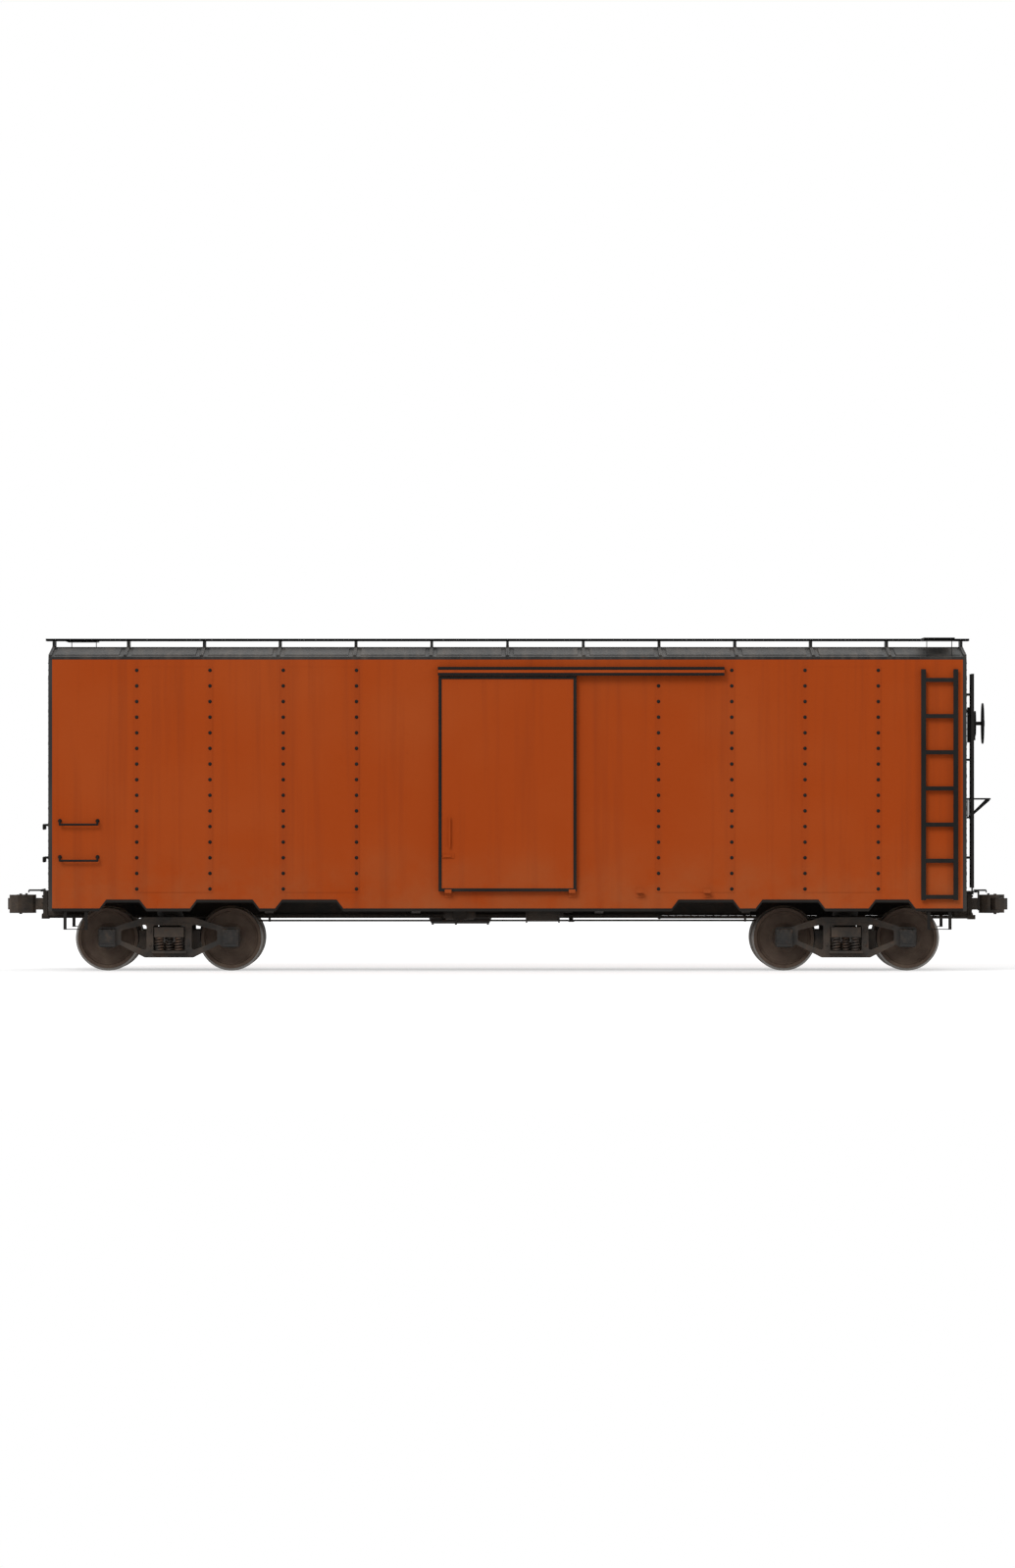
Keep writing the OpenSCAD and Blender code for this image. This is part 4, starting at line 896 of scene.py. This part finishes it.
strikerSettings = {
    "radius": 0.014,
    "height": 0.012,
    "half": 0.1938,
    "fromLow": (0.03, 0.11),
    "fromHigh": (0.16, 0.07),
    "proud": 0.001,
}


def strikerBolts(s):
    # two columns on the striking casting at each end
    low, high = corners("end_sills")
    levels = [low.z + rise for rise in s["fromLow"]] + [high.z - drop for drop in s["fromHigh"]]
    points = [((end * (high.x + s["proud"]), side * s["half"], z), (end, 0, 0))
              for end in (-1, 1) for side in (-1, 1) for z in levels]
    mesh = bolts.grow(pointMesh(points), under, Head_Radius=s["radius"], Head_Height=s["height"])
    addPiece("strikerBolts", mesh, "car")


sillRivets(sillSettings)
strikerBolts(strikerSettings)


# Springs and bolts of the trucks

coilSettings = {
    "coilRadius": 0.0455,
    "wireRadius": 0.0140,
    "turns": 5.5,
    "steps": 100,
    "innerRadius": 0.0205,
    "innerWire": 0.0080,
    "innerTurns": 8.0,
    "innerSteps": 110,
    "inset": 0.125,
    "corners": ((-0.13, -0.065), (0.13, -0.065), (-0.13, 0.065), (0.13, 0.065), (0, 0)),
}


def makeSprings(end, s):
    # an outer and an inner coil where each plain spring stands
    node = end + "_truck_springs"
    low, high = corners(node)
    middle = (low.x + high.x) / 2
    places = [(middle + dx, side * (high.y - s["inset"]) + dy, low.z)
              for side in (-1, 1) for dx, dy in s["corners"]]
    base = pointMesh([(place, (0, 0, 1)) for place in places])
    tall = high.z - low.z
    outer = coils.grow(base, spring, Coil_Radius=s["coilRadius"], Wire_Radius=s["wireRadius"], Height=tall,
                       Turns=s["turns"], Steps=s["steps"])
    inner = coils.grow(base, spring, Coil_Radius=s["innerRadius"], Wire_Radius=s["innerWire"], Height=tall,
                       Turns=s["innerTurns"], Steps=s["innerSteps"])
    addPiece(end + "Springs", joined([outer, inner]), end + "_truck", (node,))


truckBoltSettings = {
    "radius": 0.017,
    "height": 0.014,
    "boxDepth": 0.110,
    "proud": 0.002,
    "columnHalf": 0.262,
    "columnLevels": (-0.085, 0.105),
    "lidHalf": 0.088,
    "lidInset": 0.020,
    "lidRise": 0.098,
}


def truckBolts(end, s):
    # beside the spring window of each side frame, and over each journal box
    low, high = corners(end + "_truck_side_frames")
    centre = (low.x + high.x) / 2
    # the frame's outer face lies inside the reach of its journal boxes
    face = high.y - s["boxDepth"] + s["proud"]
    lid = high.y - s["lidInset"]
    points = []
    for side in (-1, 1):
        for dx in (-s["columnHalf"], s["columnHalf"]):
            for dz in s["columnLevels"]:
                points.append(((centre + dx, side * face, axleHeight + dz), (0, side, 0)))
        for dx in (-halfBase, halfBase):
            for bx in (-s["lidHalf"], s["lidHalf"]):
                points.append(((centre + dx + bx, side * lid, axleHeight + s["lidRise"]), (0, side, 0)))
    mesh = bolts.grow(pointMesh(points), casting, Head_Radius=s["radius"], Head_Height=s["height"])
    addPiece(end + "TruckBolts", mesh, end + "_truck")


for end in ("a", "b"):
    makeSprings(end, coilSettings)
    truckBolts(end, truckBoltSettings)
print("trucks: done")


# Floor and lining

boardSettings = {
    "floorPitch": 0.1403,
    "gap": 0.0022,
    "bevel": 0.0035,
    "liningPitch": 0.1365,
    "liningThickness": 0.006,
    "liningBevel": 0.0022,
    "topGap": 0.02,
}


def bevelledBoard(low, high, bevel):
    built = bmesh.new()
    bmesh.ops.create_cube(built, size=1.0)
    low, high = Vector(low), Vector(high)
    for v in built.verts:
        v.co = Vector([(low[i] + high[i]) / 2 + v.co[i] * (high[i] - low[i]) for i in range(3)])
    bmesh.ops.bevel(built, geom=list(built.edges), offset=bevel, segments=1, affect="EDGES", profile=0.5)
    bmesh.ops.recalc_face_normals(built, faces=built.faces)
    mesh = bpy.data.meshes.new("board")
    built.to_mesh(mesh)
    built.free()
    return mesh


def layFloor(s):
    low, high = corners("floor")
    count = round((high.x - low.x) / s["floorPitch"])
    step = (high.x - low.x) / count
    board = bevelledBoard(low, (low.x + step - s["gap"], high.y, high.z), s["bevel"])
    mesh = boards.grow(board, floorWood, Count=count, Step=(step, 0, 0), Seed=7)
    addPiece("floorBoards", mesh, "car", ("floor",))


def stackBoards(xs, ys, low, high, material, seed, s):
    # level boards, one above another
    count = round((high - low) / s["liningPitch"])
    step = (high - low) / count
    board = bevelledBoard((xs[0], ys[0], low), (xs[1], ys[1], low + step - s["gap"]), s["liningBevel"])
    return boards.grow(board, material, Count=count, Step=(0, 0, step), Seed=seed)


def lineWalls(s):
    floorHigh = corners("floor")[1]
    thick = s["liningThickness"]
    pieces = []
    for seed, node in enumerate(("left_wall_a", "left_wall_b", "right_wall_a", "right_wall_b"), 11):
        low, high = corners(node)
        inner = high.y if low.y < 0 else low.y
        side = 1 if inner > 0 else -1
        ys = sorted((inner, inner - side * thick))
        pieces.append(stackBoards((low.x, high.x), ys, floorHigh.z, high.z, liningWood, seed, s))
    addPiece("sideLining", joined(pieces), "car")
    pieces = []
    half = floorHigh.y - thick
    top = corners("left_side_plate", "right_side_plate")[1].z - s["topGap"]
    for seed, end in enumerate((-1, 1), 15):
        xs = sorted((end * floorHigh.x, end * (floorHigh.x - thick)))
        pieces.append(stackBoards(xs, (-half, half), floorHigh.z, top, endWood, seed, s))
    addPiece("endLining", joined(pieces), "car")


layFloor(boardSettings)
lineWalls(boardSettings)
print("boards: done")


# Running board

walkSettings = {
    "thickness": 0.030,
    "barPitch": 0.030,
    "crossPitch": 0.060,
    "barWidth": 0.005,
    "crossWidth": 0.006,
    "panelGap": 0.002,
    "rim": 0.008,
    "rimBevel": 0.001,
    "saddleWidth": 0.036,
    "legWidth": 0.036,
    "legThickness": 0.010,
    "legFromEave": 0.060,
    "legFromEnd": 0.040,
    "seatGap": 0.0003,
}


def prism(outline, low, high):
    # an outline in Y and Z, given a length along X
    built = bmesh.new()
    first = [built.verts.new((low, y, z)) for y, z in outline]
    second = [built.verts.new((high, y, z)) for y, z in outline]
    built.faces.new(first)
    built.faces.new(list(reversed(second)))
    for i in range(len(outline)):
        j = (i + 1) % len(outline)
        built.faces.new((first[i], second[i], second[j], first[j]))
    bmesh.ops.recalc_face_normals(built, faces=built.faces)
    mesh = bpy.data.meshes.new("prism")
    built.to_mesh(mesh)
    built.free()
    return mesh


def makeWalkway(s):
    low, high = corners("running_board")
    roofHigh = corners("roof")[1]
    bottom = high.z - s["thickness"]
    onTop = [v.co for v in nodes["running_board"].data.vertices if v.co.z > high.z - near]
    half = min(abs(v.y) for v in onTop)
    # the cross walkways reach out past the main one at two opposite corners
    outer = [v.x for v in onTop if v.y < low.y + near]
    crossLow, crossHigh = min(outer), max(outer)
    meshes = []

    def panel(a, b):
        count = max(3, round((b[1] - a[1]) / s["barPitch"]))
        steps = max(3, round((b[0] - a[0]) / s["crossPitch"]))
        meshes.append(gratings.grow(
            pointMesh([((0, 0, 0), (0, 0, 1))]), grating, Low=(*a, bottom), High=(*b, high.z),
            Bars=count, Crossings=steps, Bar_Width=s["barWidth"], Cross_Width=s["crossWidth"]))

    panel((low.x, -half), (high.x, half))
    panel((crossLow, low.y), (crossHigh, -half - s["panelGap"]))
    panel((-crossHigh, half + s["panelGap"]), (-crossLow, high.y))
    # side strips that hide the bars' ends
    rim = s["rim"]
    strips = (
        ((low.x, -half), (high.x, -half + rim)),
        ((low.x, half - rim), (high.x, half)),
        ((low.x, -half), (low.x + rim, half)),
        ((high.x - rim, -half), (high.x, half)),
        ((crossLow, low.y), (crossHigh, low.y + rim)),
        ((-crossHigh, high.y - rim), (-crossLow, high.y)),
        ((crossLow, low.y), (crossLow + rim, -half)),
        ((crossHigh - rim, low.y), (crossHigh, -half)),
        ((-crossHigh, half), (-crossHigh + rim, high.y)),
        ((-crossLow - rim, half), (-crossLow, high.y)),
    )
    for a, b in strips:
        meshes.append(bevelledBoard((*a, bottom), (*b, high.z), s["rimBevel"]))

    def above(y, drop=0.0):
        # just clear of the seam caps, or of the panels that lie lower
        return roofHigh.z - drop + s["seatGap"] - roofRise() * abs(y) / roofHigh.y

    # saddles stand on the roof's seam caps
    outline = [(-half, above(half)), (0, above(0)), (half, above(half)), (half, bottom), (-half, bottom)]
    wide = s["saddleWidth"] / 2
    for x in capCentres():
        meshes.append(prism(outline, x - wide, x + wide))
    # legs of the cross walkways stand on the panels
    leg = roofHigh.y - s["legFromEave"]
    thin = s["legThickness"] / 2
    for turn in (1, -1):
        foot = [(-turn * y, above(y, roofShape["capHeight"]))
                for y in (leg + s["legWidth"] / 2, leg - s["legWidth"] / 2)]
        outline = foot + [(y, bottom) for y, z in reversed(foot)]
        for x in (crossLow + s["legFromEnd"], crossHigh - s["legFromEnd"]):
            meshes.append(prism(outline, turn * x - thin, turn * x + thin))
    for mesh in meshes:
        if not mesh.materials:
            mesh.materials.append(grating)
    addPiece("runningBoard", joined(meshes), "car", ("running_board",))


makeWalkway(walkSettings)
print("running board: done")


# Stage, light and camera

stageSettings = {
    "floorSize": 120.0,
    "cameraHeight": 2.541,
    "cameraDistance": 140.0,
    "viewWidth": 13.9,
    "worldLight": 0.75,
    "sunStrength": 1.3,
    "sunAngle": 25,
    "lamps": {"key": ((52, 0, -28), 1.0), "fill": ((50, 0, 150), 0.5)},
    "paper": (0.6, 0.6, 0.6),
    "glow": 0.5,
}


def seenBy(tree, *rays):
    # 1 for light rays of the named kinds
    path = addNode(tree, "ShaderNodeLightPath").outputs
    seen = Value(tree, path[rays[0]])
    for name in rays[1:]:
        seen = seen.maths("MAXIMUM", Value(tree, path[name]))
    return seen


def layPaper(s):
    half = s["floorSize"] / 2
    mesh = bpy.data.meshes.new("floor")
    mesh.from_pydata([(-half, -half, 0), (half, -half, 0), (half, half, 0), (-half, half, 0)], [],
                     [(0, 1, 2, 3)])
    floor = bpy.data.objects.new("stageFloor", mesh)
    scene.collection.objects.link(floor)
    paper = Finish("floorPaper", specular=0.0)
    paper.set(colour=s["paper"], roughness=0.9)
    plain = paper.shader.outputs[0]
    glow = paper.node("ShaderNodeEmission", sockets={"Color": (1, 1, 1, 1), "Strength": s["glow"]})
    both = paper.node("ShaderNodeAddShader", sockets={0: plain, 1: glow.outputs[0]})
    seen = seenBy(paper.tree, "Is Camera Ray", "Is Glossy Ray")
    pick = paper.node("ShaderNodeMixShader", sockets={0: seen, 1: plain, 2: both.outputs[0]})
    output = next(n for n in paper.tree.nodes if n.bl_idname == "ShaderNodeOutputMaterial")
    paper.tree.links.new(pick.outputs[0], output.inputs["Surface"])
    mesh.materials.append(paper.material)


def lightStudio(s):
    world = bpy.data.worlds.new("studio")
    scene.world = world
    world.use_nodes = True
    tree = world.node_tree
    tree.nodes.clear()
    seen = seenBy(tree, "Is Camera Ray", "Is Glossy Ray", "Is Transmission Ray")
    strength = s["worldLight"] + seen * (1.0 - s["worldLight"])
    sky = addNode(tree, "ShaderNodeBackground", sockets={"Color": (1, 1, 1, 1), "Strength": strength})
    out = addNode(tree, "ShaderNodeOutputWorld")
    tree.links.new(sky.outputs[0], out.inputs[0])
    for name, (turn, power) in s["lamps"].items():
        data = bpy.data.lights.new(name, "SUN")
        data.energy = s["sunStrength"] * power
        data.angle = math.radians(s["sunAngle"])
        lamp = bpy.data.objects.new(name, data)
        lamp.rotation_euler = [math.radians(a) for a in turn]
        scene.collection.objects.link(lamp)


def standCamera(s):
    data = bpy.data.cameras.new("camera")
    data.sensor_fit = "HORIZONTAL"
    data.sensor_width = 36.0
    data.lens = data.sensor_width * s["cameraDistance"] / s["viewWidth"]
    data.clip_end = 1000.0
    camera = bpy.data.objects.new("camera", data)
    camera.location = (0.0, -s["cameraDistance"], s["cameraHeight"])
    camera.rotation_euler = (math.radians(90), 0, 0)
    scene.collection.objects.link(camera)
    scene.camera = camera
    scene.view_settings.view_transform = "Standard"


layPaper(stageSettings)
lightStudio(stageSettings)
standCamera(stageSettings)
print("stage: done")
